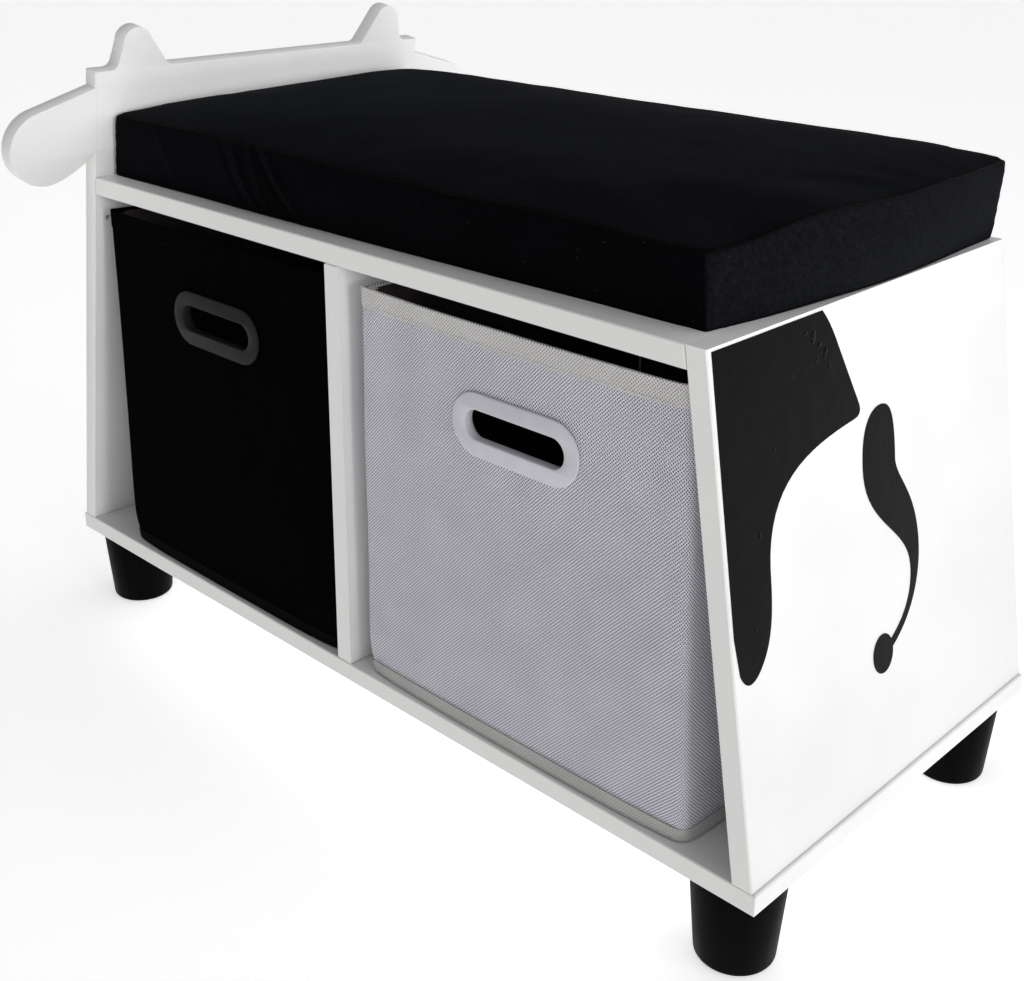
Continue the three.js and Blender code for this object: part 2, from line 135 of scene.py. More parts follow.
# %% [markdown]
# ## Finishes
# A finish is a material of procedural nodes. `new_finish` makes one with its even values set straight on the
# shader, and `add` puts one more node into it and joins it up. Patterns are drawn in object coordinates, in
# metres, so a scale of 500 has features about 2 mm across.

# %% Helpers for finishes


def new_finish(name, colour, roughness, **even_values):
    material = bpy.data.materials.new(name)
    material.use_nodes = True
    shader = material.node_tree.nodes["Principled BSDF"]
    shader.inputs["Base Color"].default_value = (*colour, 1)
    shader.inputs["Roughness"].default_value = roughness
    for socket, value in even_values.items():
        shader.inputs[socket.replace("_", " ")].default_value = value
    return material, shader


def add(material, kind, inputs=(), **settings):
    node = material.node_tree.nodes.new("ShaderNode" + kind)
    for key, value in settings.items():
        setattr(node, key, value)
    for key, value in dict(inputs).items():
        if isinstance(value, bpy.types.NodeSocket):
            material.node_tree.links.new(value, node.inputs[key])
        else:
            node.inputs[key].default_value = value
    return node


def join(material, output, socket):
    material.node_tree.links.new(output, socket)


def place_on(material):
    return add(material, "TexCoord").outputs["Object"]


def noise(material, scale, detail=3.0, stretch=(1, 1, 1)):
    place = add(material, "Mapping", {"Vector": place_on(material), "Scale": stretch})
    return add(material, "TexNoise", {"Vector": place.outputs[0], "Scale": scale, "Detail": detail}).outputs[0]


def spread(material, value, low, high, to_low=0.0, to_high=1.0):
    return add(material, "MapRange", {0: value, 1: low, 2: high, 3: to_low, 4: to_high}).outputs[0]


def sums(material, operation, first, second):
    return add(material, "Math", {0: first, 1: second}, operation=operation).outputs[0]


def mix(material, share, first, second):
    colours = {key: value if isinstance(value, bpy.types.NodeSocket) else (*value, 1)
               for key, value in ((6, first), (7, second))}
    return add(material, "Mix", {0: share, **colours}, data_type="RGBA").outputs[2]


def raise_surface(material, shader, height, distance, strength=1.0):
    """Bump of a height from 0 to 1 that stands for a distance in metres."""
    bump = add(material, "Bump", {"Height": height, "Distance": distance, "Strength": strength})
    earlier = shader.inputs["Normal"].links
    if earlier:
        join(material, earlier[0].from_socket, bump.inputs["Normal"])
    join(material, bump.outputs[0], shader.inputs["Normal"])


# %% [markdown]
# The boards are particle board with a white melamine face: an even, slightly cool white, pressed with a very
# fine pearl. Their edges are covered with a glued strip that is a little smoother and warmer, with a hair
# line of glue where it meets the face. The strip is found by the way the surface faces, so one finish serves
# every board.

# %% White board
white_board, shader = new_finish("white_board", (0.83, 0.83, 0.82), 0.36, Specular_IOR_Level=0.45)
cloudy = noise(white_board, 9, 2)
pearl = noise(white_board, 900, 2)
facing = add(white_board, "SeparateXYZ", {0: add(white_board, "TexCoord").outputs["Normal"]})
to_front = sums(white_board, "ABSOLUTE", facing.outputs["Y"], 0.0)
on_strip = spread(white_board, to_front, 0.45, 0.75)
where = add(white_board, "SeparateXYZ", {0: place_on(white_board)})
from_middle = sums(white_board, "ABSOLUTE", where.outputs["Y"], 0.0)
glue_line = sums(white_board, "COMPARE", from_middle, 0.1738)
glue_line.node.inputs[2].default_value = 0.00022
face_colour = mix(white_board, spread(white_board, cloudy, 0.35, 0.65), (0.80, 0.805, 0.80), (0.85, 0.85, 0.842))
with_strip = mix(white_board, sums(white_board, "MULTIPLY", on_strip, 0.8), face_colour, (0.83, 0.828, 0.805))
scuffs = spread(white_board, noise(white_board, 60, 6, (1, 1, 3)), 0.68, 0.76, 0.0, 0.25)
with_scuffs = mix(white_board, scuffs, with_strip, (0.70, 0.69, 0.67))
with_glue = mix(white_board, sums(white_board, "MULTIPLY", glue_line, 0.3), with_scuffs, (0.55, 0.54, 0.50))
join(white_board, with_glue, shader.inputs["Base Color"])
join(white_board, spread(white_board, noise(white_board, 25, 4), 0.3, 0.7, 0.30, 0.46), shader.inputs["Roughness"])
raise_surface(white_board, shader, pearl, 0.00003)
raise_surface(white_board, shader, noise(white_board, 40, 2), 0.00015)

# %% [markdown]
# The back panel is 3 mm hardboard, painted white. It is duller than the boards, and its paint shows the
# short fibres of the board under it.

# %% Painted hardboard
hardboard, shader = new_finish("painted_hardboard", (0.78, 0.775, 0.755), 0.6)
fibres = noise(hardboard, 260, 5, (1, 1, 2.5))
blotches = spread(hardboard, noise(hardboard, 14, 3), 0.35, 0.65)
join(hardboard, mix(hardboard, blotches, (0.765, 0.76, 0.74), (0.79, 0.786, 0.768)), shader.inputs["Base Color"])
join(hardboard, spread(hardboard, fibres, 0.3, 0.7, 0.5, 0.7), shader.inputs["Roughness"])
raise_surface(hardboard, shader, fibres, 0.00012)

# %% [markdown]
# The feet are turned beech under black satin lacquer. The lacquer is a coat over a nearly black wood, and a
# faint grain and a few turning rings show through as changes of gloss and height.

# %% Black lacquered wood
black_foot, shader = new_finish("black_lacquer", (0.0015, 0.0015, 0.0015), 0.34, Specular_IOR_Level=0.03)
grain = noise(black_foot, 160, 4, (1, 1, 0.12))
rings = noise(black_foot, 500, 1, (0.02, 0.02, 1))
join(black_foot, mix(black_foot, spread(black_foot, grain, 0.4, 0.7), (0.0008, 0.0009, 0.0009), (0.0022, 0.0022, 0.0022)),
     shader.inputs["Base Color"])
join(black_foot, spread(black_foot, grain, 0.3, 0.7, 0.34, 0.52), shader.inputs["Roughness"])
raise_surface(black_foot, shader, grain, 0.00012)
raise_surface(black_foot, shader, rings, 0.00006)

# %% [markdown]
# Hidden and half hidden things still get their own finish: zinc-plated steel for the screws and cam fixings,
# beech for the dowels, grey board for the bins' stiffening and open foam for the cushion's filling.

# %% Steel, beech, greyboard and foam
steel, shader = new_finish("zinc_steel", (0.55, 0.57, 0.60), 0.32, Metallic=1.0)
brushed = noise(steel, 900, 3, (1, 1, 0.1))
join(steel, mix(steel, spread(steel, noise(steel, 120, 3), 0.35, 0.65), (0.46, 0.47, 0.47), (0.62, 0.64, 0.68)),
     shader.inputs["Base Color"])
join(steel, spread(steel, brushed, 0.3, 0.7, 0.22, 0.45), shader.inputs["Roughness"])
raise_surface(steel, shader, brushed, 0.00003)

beech, shader = new_finish("beech", (0.62, 0.42, 0.22), 0.65)
grain = noise(beech, 300, 5, (0.06, 1, 1))
flecks = spread(beech, noise(beech, 900, 2, (0.1, 1, 1)), 0.62, 0.7)
wood = mix(beech, spread(beech, grain, 0.35, 0.65), (0.50, 0.31, 0.15), (0.70, 0.50, 0.29))
join(beech, mix(beech, flecks, wood, (0.36, 0.2, 0.1)), shader.inputs["Base Color"])
raise_surface(beech, shader, grain, 0.00015)

greyboard, shader = new_finish("greyboard", (0.32, 0.29, 0.25), 0.9)
pulp = noise(greyboard, 700, 5)
join(greyboard, mix(greyboard, spread(greyboard, pulp, 0.35, 0.65), (0.24, 0.22, 0.19), (0.38, 0.35, 0.31)),
     shader.inputs["Base Color"])
raise_surface(greyboard, shader, pulp, 0.0001)

foam, shader = new_finish("foam", (0.80, 0.70, 0.40), 0.95)
cells = add(foam, "TexVoronoi", {"Vector": place_on(foam), "Scale": 900.0}).outputs["Distance"]
join(foam, mix(foam, spread(foam, cells, 0.0, 0.7), (0.62, 0.52, 0.28), (0.84, 0.75, 0.46)),
     shader.inputs["Base Color"])
raise_surface(foam, shader, cells, 0.0004)

# %% [markdown]
# The stickers are black vinyl film: very dark and glossy, with the board's pearl showing through it as a
# slight ripple in the reflections.

# %% Black vinyl
vinyl, shader = new_finish("black_vinyl", (0.002, 0.002, 0.002), 0.13, Specular_IOR_Level=0.05)
film = noise(vinyl, 45, 2)
dust = spread(vinyl, noise(vinyl, 1400, 2), 0.72, 0.78, 0.0, 0.35)
join(vinyl, mix(vinyl, dust, (0.0015, 0.0015, 0.0017), (0.012, 0.012, 0.012)), shader.inputs["Base Color"])
join(vinyl, spread(vinyl, noise(vinyl, 120, 3), 0.3, 0.7, 0.09, 0.2), shader.inputs["Roughness"])
raise_surface(vinyl, shader, film, 0.0004)
raise_surface(vinyl, shader, noise(vinyl, 700, 2), 0.00002)

# %% [markdown]
# The cushion's cover is a short-pile velvet, black with a touch of blue. Velvet is dark where it is looked at
# straight on and catches light at grazing angles, which is what sheen does. The pile lies this way and that
# in soft patches, and a few pale specks of lint sit on it. Faces that look towards the right end are painted
# lighter, which is painted light from the lamp on that side.

# %% Velvet
velvet, shader = new_finish("black_velvet", (0.0012, 0.0013, 0.0018), 0.85, Specular_IOR_Level=0.02,
                            Sheen_Weight=0.016, Sheen_Roughness=0.35)
shader.inputs["Sheen Tint"].default_value = (0.62, 0.72, 0.95, 1)
pile = noise(velvet, 2600, 2)
nap = spread(velvet, noise(velvet, 28, 4), 0.35, 0.68)
mottle = spread(velvet, noise(velvet, 330, 3), 0.3, 0.75)
lint = add(velvet, "TexVoronoi", {"Vector": place_on(velvet), "Scale": 210.0, "Randomness": 1.0})
specks = sums(velvet, "LESS_THAN", lint.outputs["Distance"], 0.075)
rare = sums(velvet, "GREATER_THAN", add(velvet, "SeparateColor", {0: lint.outputs["Color"]}).outputs[0], 0.9)
smooth_pile = mix(velvet, nap, (0.0007, 0.0009, 0.0013), (0.0014, 0.0017, 0.0023))
rubbed_pile_and_painted_end_light = mix(velvet, sums(velvet, "MULTIPLY", mottle, 0.6), smooth_pile, (0.0030, 0.0033, 0.0040))
# Painted light: faces turned towards +X, the right end, get a lighter pile colour for the light that falls there.
end_facing = add(velvet, "SeparateXYZ", {0: add(velvet, "TexCoord").outputs["Normal"]}).outputs["X"]
painted_light_on_end = spread(velvet, end_facing, 0.5, 0.9, 0.0, 1.0)
rubbed_pile_and_painted_end_light = mix(velvet, painted_light_on_end, rubbed_pile_and_painted_end_light, mix(velvet, mottle, (0.0032, 0.0036, 0.0048), (0.0085, 0.0090, 0.0110)))
lint_share = sums(velvet, "MULTIPLY", sums(velvet, "MULTIPLY", specks, rare), 0.5)
join(velvet, mix(velvet, lint_share, rubbed_pile_and_painted_end_light, (0.10, 0.11, 0.12)), shader.inputs["Base Color"])
raise_surface(velvet, shader, pile, 0.0005, 0.7)
raise_surface(velvet, shader, mottle, 0.0003, 0.5)

# %% [markdown]
# The bins are sewn from non-woven cloth, which is fibre felt bonded by a lattice of small pressed dots. The
# dots stand in diagonal rows 1.8 mm apart, and each is a pit. On the four upright walls one pattern serves
# for all if it is drawn on x + y across and z up, because one of x and y hardly changes on each wall.

# %% Non-woven cloth
DOT_PITCH = 1.8 * MM


def dotted_cloth(name, light, dark, dot, dot_share, sheen=0.05, shine=0.15):
    cloth, shader = new_finish(name, light, 0.9, Specular_IOR_Level=shine, Sheen_Weight=sheen,
                               Sheen_Roughness=0.5)
    here = add(cloth, "SeparateXYZ", {0: place_on(cloth)})
    across = sums(cloth, "ADD", here.outputs["X"], here.outputs["Y"])
    flat = add(cloth, "CombineXYZ", {0: across, 1: here.outputs["Z"]}).outputs[0]
    turned = add(cloth, "Mapping", {"Vector": flat, "Rotation": (0, 0, math.radians(45))}).outputs[0]
    lattice = add(cloth, "TexVoronoi", {"Vector": turned, "Scale": 1 / DOT_PITCH, "Randomness": 0.12},
                  voronoi_dimensions="2D").outputs["Distance"]
    pits = spread(cloth, lattice, 0.25, 0.36, 1.0, 0.0)
    fibres = noise(cloth, 1500, 4)
    cloudy = spread(cloth, noise(cloth, 35, 4), 0.3, 0.7)
    body = mix(cloth, cloudy, dark, light)
    felted = mix(cloth, spread(cloth, fibres, 0.35, 0.7, 0.0, 0.45), body, dark)
    join(cloth, mix(cloth, sums(cloth, "MULTIPLY", pits, dot_share), felted, dot), shader.inputs["Base Color"])
    raise_surface(cloth, shader, pits, 0.00025, 0.8)
    cloth.node_tree.nodes["Bump"].invert = True
    raise_surface(cloth, shader, fibres, 0.00015, 0.7)
    return cloth


white_cloth = dotted_cloth("white_cloth", (0.78, 0.77, 0.84), (0.68, 0.67, 0.735), (0.035, 0.033, 0.045), 1.0)
hem_cloth = dotted_cloth("white_hem", (0.79, 0.765, 0.76), (0.70, 0.68, 0.67), (0.16, 0.15, 0.145), 0.85)
black_cloth = dotted_cloth("black_cloth", (0.0013, 0.0014, 0.0014), (0.0007, 0.0008, 0.0008), (0.0002, 0.0002, 0.0002),
                           0.8, 0.002, 0.01)
black_lining = dotted_cloth("black_lining", (0.11, 0.093, 0.088), (0.075, 0.064, 0.061), (0.04, 0.036, 0.036),
                            0.7, 0.01, 0.03)
print(len(bpy.data.materials), "finishes so far")

# %% [markdown]
# The base of each white bin has a narrow band of a plainer, finer cloth, with thread the same colour. Thread
# is a twisted yarn, which shows as fine slanting stripes.

# %% Plain cloth and thread


def plain_cloth(name, light, dark):
    cloth, shader = new_finish(name, light, 0.9, Specular_IOR_Level=0.05, Sheen_Weight=0.01, Sheen_Roughness=0.5)
    fine = noise(cloth, 1300, 4)
    join(cloth, mix(cloth, spread(cloth, fine, 0.3, 0.7), dark, light), shader.inputs["Base Color"])
    raise_surface(cloth, shader, fine, 0.0002)
    return cloth


white_band = dotted_cloth("white_band", (0.60, 0.59, 0.575), (0.50, 0.49, 0.475), (0.30, 0.29, 0.28), 0.7)
black_band = plain_cloth("black_band", (0.0018, 0.0018, 0.0018), (0.0009, 0.0009, 0.0009))


def twisted_thread(name, light, dark):
    thread, shader = new_finish(name, light, 0.7, Specular_IOR_Level=0.05)
    yarn = add(thread, "TexWave", {"Vector": place_on(thread), "Scale": 450.0, "Distortion": 1.0},
               bands_direction="DIAGONAL").outputs["Fac"]
    join(thread, mix(thread, yarn, dark, light), shader.inputs["Base Color"])
    raise_surface(thread, shader, yarn, 0.0001)
    return thread


white_thread = twisted_thread("white_thread", (0.78, 0.78, 0.79), (0.58, 0.58, 0.6))
black_thread = twisted_thread("black_thread", (0.004, 0.004, 0.0045), (0.0015, 0.0015, 0.0015))

# Nearly black finish for the cushion's seam tube: painted shadow of the seam groove, darker than any thread.
seam_shade = twisted_thread("painted_seam_shadow", (0.0008, 0.0008, 0.0009), (0.0003, 0.0003, 0.0003))

# %% [markdown]
# The handles are moulded plastic with a fine spark-eroded grain. It is a satin surface that is a little
# shinier where hands rub it.

# %% Moulded plastic


def moulded(name, light, dark, shine=0.25):
    plastic, shader = new_finish(name, light, 0.4, Specular_IOR_Level=shine)
    rubbed = spread(plastic, noise(plastic, 60, 3), 0.3, 0.7)
    eroded = noise(plastic, 2200, 2)
    join(plastic, mix(plastic, rubbed, dark, light), shader.inputs["Base Color"])
    join(plastic, spread(plastic, rubbed, 0.0, 1.0, 0.34, 0.48), shader.inputs["Roughness"])
    raise_surface(plastic, shader, eroded, 0.00003)
    return plastic


white_plastic = moulded("white_plastic", (0.64, 0.64, 0.69), (0.58, 0.58, 0.63))
grey_plastic = moulded("grey_plastic", (0.020, 0.021, 0.021), (0.015, 0.016, 0.016), 0.05)
rubber = plain_cloth("grey_felt", (0.16, 0.16, 0.16), (0.08, 0.08, 0.08))
floor_paint, shader = new_finish("studio_paper", (0.93, 0.93, 0.93), 0.9, Specular_IOR_Level=0.0,
                                 Emission_Strength=0.57)
shader.inputs["Emission Color"].default_value = (1, 1, 1, 1)
join(floor_paint, mix(floor_paint, noise(floor_paint, 3, 2), (0.925, 0.925, 0.925), (0.935, 0.935, 0.935)),
     shader.inputs["Base Color"])
floor.data.materials.append(floor_paint)

# %% [markdown]
# ## Boards and fixings
# The measured boards, cards and fixings already have their true shape, so they stay as they are and only get
# their finish. A finish is given by what a piece is called.

# %% Finish the measured pieces
FINISH_OF = [("board", white_board), ("divider", white_board), ("tail_panel", white_board),
             ("back_panel", hardboard), ("screw", steel), ("stud", steel), ("cam", steel), ("dowel", beech),
             ("foam", foam), ("card", greyboard)]
for name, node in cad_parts.items():
    for word, look in FINISH_OF:
        if word in name:
            node.data.materials.clear()
            node.data.materials.append(black_lining if "base_card" in name else look)
            break

# %% [markdown]
# ## Modelling helpers
# Each piece starts from a primitive or a drawn outline and is shaped with the usual operators. An operator
# acts on all that is selected, so `alone` first selects a single object, and `choose` then selects the
# vertices, edges or faces that a small test says yes to.

# %% Helpers for modelling


def alone(piece):
    if bpy.context.mode != "OBJECT":
        bpy.ops.object.mode_set(mode="OBJECT")
    bpy.ops.object.select_all(action="DESELECT")
    piece.select_set(True)
    bpy.context.view_layer.objects.active = piece


def choose(piece, kind, wanted):
    if bpy.context.mode != "EDIT_MESH":
        alone(piece)
        bpy.ops.object.mode_set(mode="EDIT")
    bpy.ops.mesh.select_mode(type={"verts": "VERT", "edges": "EDGE", "faces": "FACE"}[kind])
    bpy.ops.mesh.select_all(action="DESELECT")
    mesh = bmesh.from_edit_mesh(piece.data)
    for element in getattr(mesh, kind):
        if wanted(element):
            element.select_set(True)
    mesh.select_flush_mode()
    bmesh.update_edit_mesh(piece.data)


def finish_with(piece, kind, **settings):
    modifier = piece.modifiers.new(kind.title(), kind)
    for key, value in settings.items():
        setattr(modifier, key, value)
    if kind == "SUBSURF":
        modifier.render_levels = modifier.levels
    alone(piece)
    bpy.ops.object.modifier_apply(modifier=modifier.name)


def block(name, low, high):
    """A cube primitive stretched between two corners, with its place in its mesh."""
    bpy.ops.object.select_all(action="DESELECT")
    low, high = Vector(low), Vector(high)
    bpy.ops.mesh.primitive_cube_add(size=1, location=(low + high) / 2, scale=high - low)
    piece = bpy.context.object
    piece.name = piece.data.name = name
    bpy.ops.object.transform_apply(location=True, rotation=True, scale=True)
    return piece


def smooth(piece, degrees=35):
    alone(piece)
    bpy.ops.object.shade_smooth_by_angle(angle=math.radians(degrees))


def outward(piece):
    alone(piece)
    bpy.ops.object.mode_set(mode="EDIT")
    bpy.ops.mesh.select_all(action="SELECT")
    bpy.ops.mesh.remove_doubles(threshold=0.00001)
    bpy.ops.mesh.normals_make_consistent(inside=False)
    bpy.ops.object.mode_set(mode="OBJECT")


def finished(piece, look, body, replaces=()):
    """Gives a piece its finish and body, and hides the measured nodes that it stands for."""
    if look is not None:
        piece.data.materials.clear()
        piece.data.materials.append(look)
    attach(piece, body)
    if replaces:
        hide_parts(*replaces)
    return piece


def copy_of(piece, name):
    alone(piece)
    bpy.ops.object.duplicate()
    twin = bpy.context.object
    twin.name = twin.data.name = name
    return twin


def merge(name, pieces):
    alone(pieces[0])
    for piece in pieces:
        piece.select_set(True)
    bpy.ops.object.join()
    bpy.context.object.name = bpy.context.object.data.name = name
    return bpy.context.object


# %% [markdown]
# Sawn outlines are drawn as a Bezier curve, the way a jigsaw template is: straight lines, bends with two
# handles and parts of circles. A closed flat curve fills itself, gets its thickness from extrude, and its
# softened edge from bevel, with an offset that keeps the outline on its line.

# %% Helpers for outlines


def line_to(knots, point):
    knots.append([point, None, None])


def bend_to(knots, leaving, arriving, point):
    knots[-1][2] = leaving
    knots.append([point, arriving, None])


def curve_to(knots, handle, point):
    start = knots[-1][0]
    third = [tuple(a + (h - a) * 2 / 3 for a, h in zip(end, handle)) for end in (start, point)]
    bend_to(knots, third[0], third[1], point)


def arc_to(knots, middle, across, up, start, end, parts=4):
    step = math.radians(end - start) / parts
    reach = 4 / 3 * math.tan(step / 4)

    def at(angle, ahead):
        return (middle[0] + across * (math.cos(angle) - ahead * math.sin(angle)),
                middle[1] + up * (math.sin(angle) + ahead * math.cos(angle)))

    first = math.radians(start)
    if math.dist(knots[-1][0], at(first, 0)) > 0.01:
        line_to(knots, at(first, 0))
    for i in range(parts):
        angle = first + i * step
        bend_to(knots, at(angle, reach), at(angle + step, -reach), at(angle + step, 0))


def cut_out(name, outlines, thickness, rounding=0.0, steps=10):
    """A plate cut to outlines in millimetres, lying flat and centred on its thickness."""
    bpy.ops.object.select_all(action="DESELECT")
    bpy.ops.curve.primitive_bezier_curve_add(radius=0.01)
    piece = bpy.context.object
    piece.name = piece.data.name = name
    drawing = piece.data
    drawing.splines.clear()
    for knots in outlines:
        spline = drawing.splines.new("BEZIER")
        spline.bezier_points.add(len(knots) - 1)
        spline.use_cyclic_u = True
        for knot, (point, before, after) in zip(spline.bezier_points, knots):
            knot.co = Vector((*point, 0)) * MM
            knot.handle_left_type = "FREE" if before else "VECTOR"
            knot.handle_right_type = "FREE" if after else "VECTOR"
            if before:
                knot.handle_left = Vector((*before, 0)) * MM
            if after:
                knot.handle_right = Vector((*after, 0)) * MM
    drawing.dimensions = "2D"
    drawing.fill_mode = "BOTH"
    drawing.resolution_u = steps
    drawing.extrude = (thickness / 2 - rounding) * MM
    drawing.bevel_depth = rounding * MM
    drawing.bevel_resolution = 1
    drawing.offset = -rounding * MM
    bpy.ops.object.convert(target="MESH")
    outward(piece)
    return piece


def put(piece, matrix):
    alone(piece)
    piece.matrix_world = matrix
    bpy.ops.object.transform_apply(location=True, rotation=True, scale=True)


# %% [markdown]
# ## The head panel
# The left end panel goes on above the seat as a cow's head, with an ear and a horn at the front and again at
# the back. It is drawn as one half and mirrored, cut from 15 mm board, and leaned in by 9.3 degrees. Its foot
# is then sawn level where it stands on the bottom board, and a small peg hole is drilled near its front edge.

# %% Draw and cut the head panel
LEAN = math.radians(9.3)
BOARD = 15.0
head_low, head_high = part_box("head_panel")
tail_low, tail_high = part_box("tail_panel")
UPRIGHT = Matrix(((0, 0, 1, 0), (1, 0, 0, 0), (0, 1, 0, 0), (0, 0, 0, 1)))
on_head = Matrix.Translation((head_low.x, 0, head_low.z)) @ Matrix.Rotation(LEAN, 4, "Y")
on_tail = Matrix.Translation((tail_high.x, 0, tail_low.z)) @ Matrix.Rotation(-LEAN, 4, "Y")

SIDE, CROWN = 175.0, 426.0
EAR, EAR_RADIUS = (218.7, 366.7), 31.5
HORN, HORN_RADIUS = (135.5, 446.5), 13.5
half = [[(SIDE, -BOARD), None, None]]
line_to(half, (SIDE, 357.0))
ear_under = (EAR[0] + EAR_RADIUS * math.cos(-0.56 * math.pi), EAR[1] + EAR_RADIUS * math.sin(-0.56 * math.pi))
curve_to(half, (EAR[0] - 24, EAR[1] - 26.5), ear_under)
arc_to(half, EAR, EAR_RADIUS, EAR_RADIUS, -100.8, 75.6)
line_to(half, (SIDE, 412.5))
line_to(half, (SIDE, CROWN))
line_to(half, (160.0, CROWN))
curve_to(half, (154.0, CROWN + 0.5), (152.5, CROWN + 8))
arc_to(half, HORN, HORN_RADIUS, HORN_RADIUS, 0, 149.4)
line_to(half, (107.5, CROWN + 4))
curve_to(half, (105.5, CROWN), (101.0, CROWN))


def flipped(point):
    return point and (-point[0], point[1])


other_half = [[flipped(point), flipped(after), flipped(before)] for point, before, after in reversed(half)]
head_panel = cut_out("head_panel_cut", [half + other_half], BOARD, 1.0, 14)
put(head_panel, on_head @ Matrix.Translation((BOARD / 2 * MM, 0, 0)) @ UPRIGHT)

choose(head_panel, "faces", lambda face: True)
bpy.ops.mesh.bisect(plane_co=(0, 0, head_low.z), plane_no=(0, 0, 1), use_fill=True, clear_inner=True)
bpy.ops.object.mode_set(mode="OBJECT")
bpy.ops.object.select_all(action="DESELECT")
bpy.ops.mesh.primitive_cylinder_add(vertices=24, radius=2.5 * MM, depth=16 * MM)
drill = bpy.context.object
put(drill, on_head @ Matrix.Translation((BOARD * MM, -162.5 * MM, 299 * MM)) @ Matrix.Rotation(math.pi / 2, 4, "Y"))
finish_with(head_panel, "BOOLEAN", object=drill, operation="DIFFERENCE", solver="EXACT")
bpy.data.objects.remove(drill)
smooth(head_panel, 30)
finished(head_panel, white_board, "bench", ["head_panel"])
print("head panel:", len(head_panel.data.polygons), "faces")

# %% [markdown]
# ## The stickers
# Two vinyl cut-outs sit on the right end panel: a cow's patch, and a tail with a tuft. Film put on by hand
# traps a few air bubbles, which are low oval domes. Each dome is a sphere squashed almost flat and sunk into
# the film, then joined to it.

# %% Cut the stickers
patch = [[(-171, 332), None, None]]
line_to(patch, (-60, 332))
curve_to(patch, (-52, 323), (-46, 309))
line_to(patch, (-26, 265))
curve_to(patch, (-23, 257.5), (-32, 256.5))
bend_to(patch, (-88, 252), (-129, 243), (-132, 191))
bend_to(patch, (-132.5, 168), (-134, 146), (-151, 132.5))
curve_to(patch, (-163, 124), (-169, 138))
line_to(patch, (-172, 162))

cow_tail = [[(-4.2, 98), None, None]]
bend_to(cow_tail, (15, 107), (26, 122), (25, 140))
bend_to(cow_tail, (24, 167), (-24, 181), (-26, 217))
bend_to(cow_tail, (-27, 244), (-16, 259), (0, 258))
bend_to(cow_tail, (13, 257), (15, 244), (13, 217))
bend_to(cow_tail, (14, 203), (36, 190), (37, 155))
bend_to(cow_tail, (37.5, 127), (22, 104), (-2.8, 92))
arc_to(cow_tail, (-15, 91.5), 12.2, 13.5, 0, -330, 6)

BUBBLES = [(-72, 318, 2.4, 70), (-66, 312, 1.7, 20), (-60, 306, 2.0, 60), (-80, 322, 1.4, 0),
           (-57, 297, 1.5, 90), (-70, 303, 1.2, 30), (-96, 300, 1.0, 0), (-119, 262, 1.1, 40),
           (-140, 215, 1.3, 80), (-152, 160, 1.0, 10)]


def stick(name, outline, bubbles, node):
    film = cut_out(name, [outline], 0.3, 0.0, 16)
    domes = []
    for across, up, radius, turn in bubbles:
        bpy.ops.mesh.primitive_uv_sphere_add(segments=16, ring_count=8, radius=radius * MM)
        dome = bpy.context.object
        put(dome, Matrix.Translation((across * MM, up * MM, 0.1 * MM)) @ Matrix.Rotation(math.radians(turn), 4, "Z")
            @ Matrix.Diagonal((2.0, 1.0, 0.32, 1)))
        domes.append(dome)
    film = merge(name, [film, *domes])
    put(film, on_tail @ Matrix.Translation((0.25 * MM, 0, 0)) @ UPRIGHT)
    smooth(film, 40)
    return finished(film, vinyl, "bench", [node])


stick("patch_film", patch, BUBBLES, "cow_patch_sticker")
stick("cow_tail_film", cow_tail, [(-4, 246, 1.1, 60), (2, 230, 0.9, 20)], "cow_tail_sticker")
print("stickers laid on the tail panel")

# %% [markdown]
# ## The feet
# A foot is a turned cone, wider at the top, with a rounded lower rim, a soft shoulder under the board and a
# thin felt disc below. It is modelled once, from a cone primitive with bevelled rims, and copied to the
# other three places.

# %% Turn one foot and copy it
foot_low, foot_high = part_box("tail_foot_front")
foot_height = foot_high.z - foot_low.z
foot_middle = (foot_low + foot_high) / 2
bpy.ops.object.select_all(action="DESELECT")
bpy.ops.mesh.primitive_cone_add(vertices=72, radius1=26.5 * MM, radius2=32.1 * MM, depth=foot_height,
                                location=(foot_middle.x, foot_middle.y, foot_height / 2))
turned_foot = bpy.context.object
turned_foot.name = turned_foot.data.name = "turned_foot"
bpy.ops.object.transform_apply(location=True, rotation=True, scale=True)
choose(turned_foot, "edges", lambda edge: all(vert.co.z < MM for vert in edge.verts))
bpy.ops.mesh.bevel(offset=4 * MM, segments=5, affect="EDGES")
choose(turned_foot, "edges", lambda edge: all(vert.co.z > foot_height - MM / 10 for vert in edge.verts))
bpy.ops.mesh.bevel(offset=1.6 * MM, segments=3, affect="EDGES")
choose(turned_foot, "faces", lambda face: face.normal.z < -0.99)
bpy.ops.mesh.inset(thickness=3 * MM)
bpy.ops.mesh.extrude_region_move(TRANSFORM_OT_translate={"value": (0, 0, 0.8 * MM)})
bpy.ops.object.mode_set(mode="OBJECT")
smooth(turned_foot, 40)
bpy.ops.object.select_all(action="DESELECT")
bpy.ops.mesh.primitive_cylinder_add(vertices=48, radius=18.5 * MM, depth=1.4 * MM,
                                    location=(foot_middle.x, foot_middle.y, 0.8 * MM))
felt = bpy.context.object
felt.name = felt.data.name = "foot_felt"
bpy.ops.object.transform_apply(location=True, rotation=True, scale=True)
finish_with(felt, "BEVEL", width=0.4 * MM, segments=2)
smooth(felt, 40)

for end in ("head", "tail"):
    for row in ("front", "back"):
        node = f"{end}_foot_{row}"
        low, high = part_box(node)
        step = (low + high) / 2 - foot_middle
        for original, look in ((turned_foot, black_foot), (felt, rubber)):
            twin = copy_of(original, f"{node}_{'turned' if original is turned_foot else 'felt'}")
            put(twin, Matrix.Translation((step.x, step.y, 0)))
            finished(twin, look, "bench", [node] if original is turned_foot else ())
for original in (turned_foot, felt):
    bpy.data.objects.remove(original)
print("four feet, each", round(foot_height * 1000), "mm high")

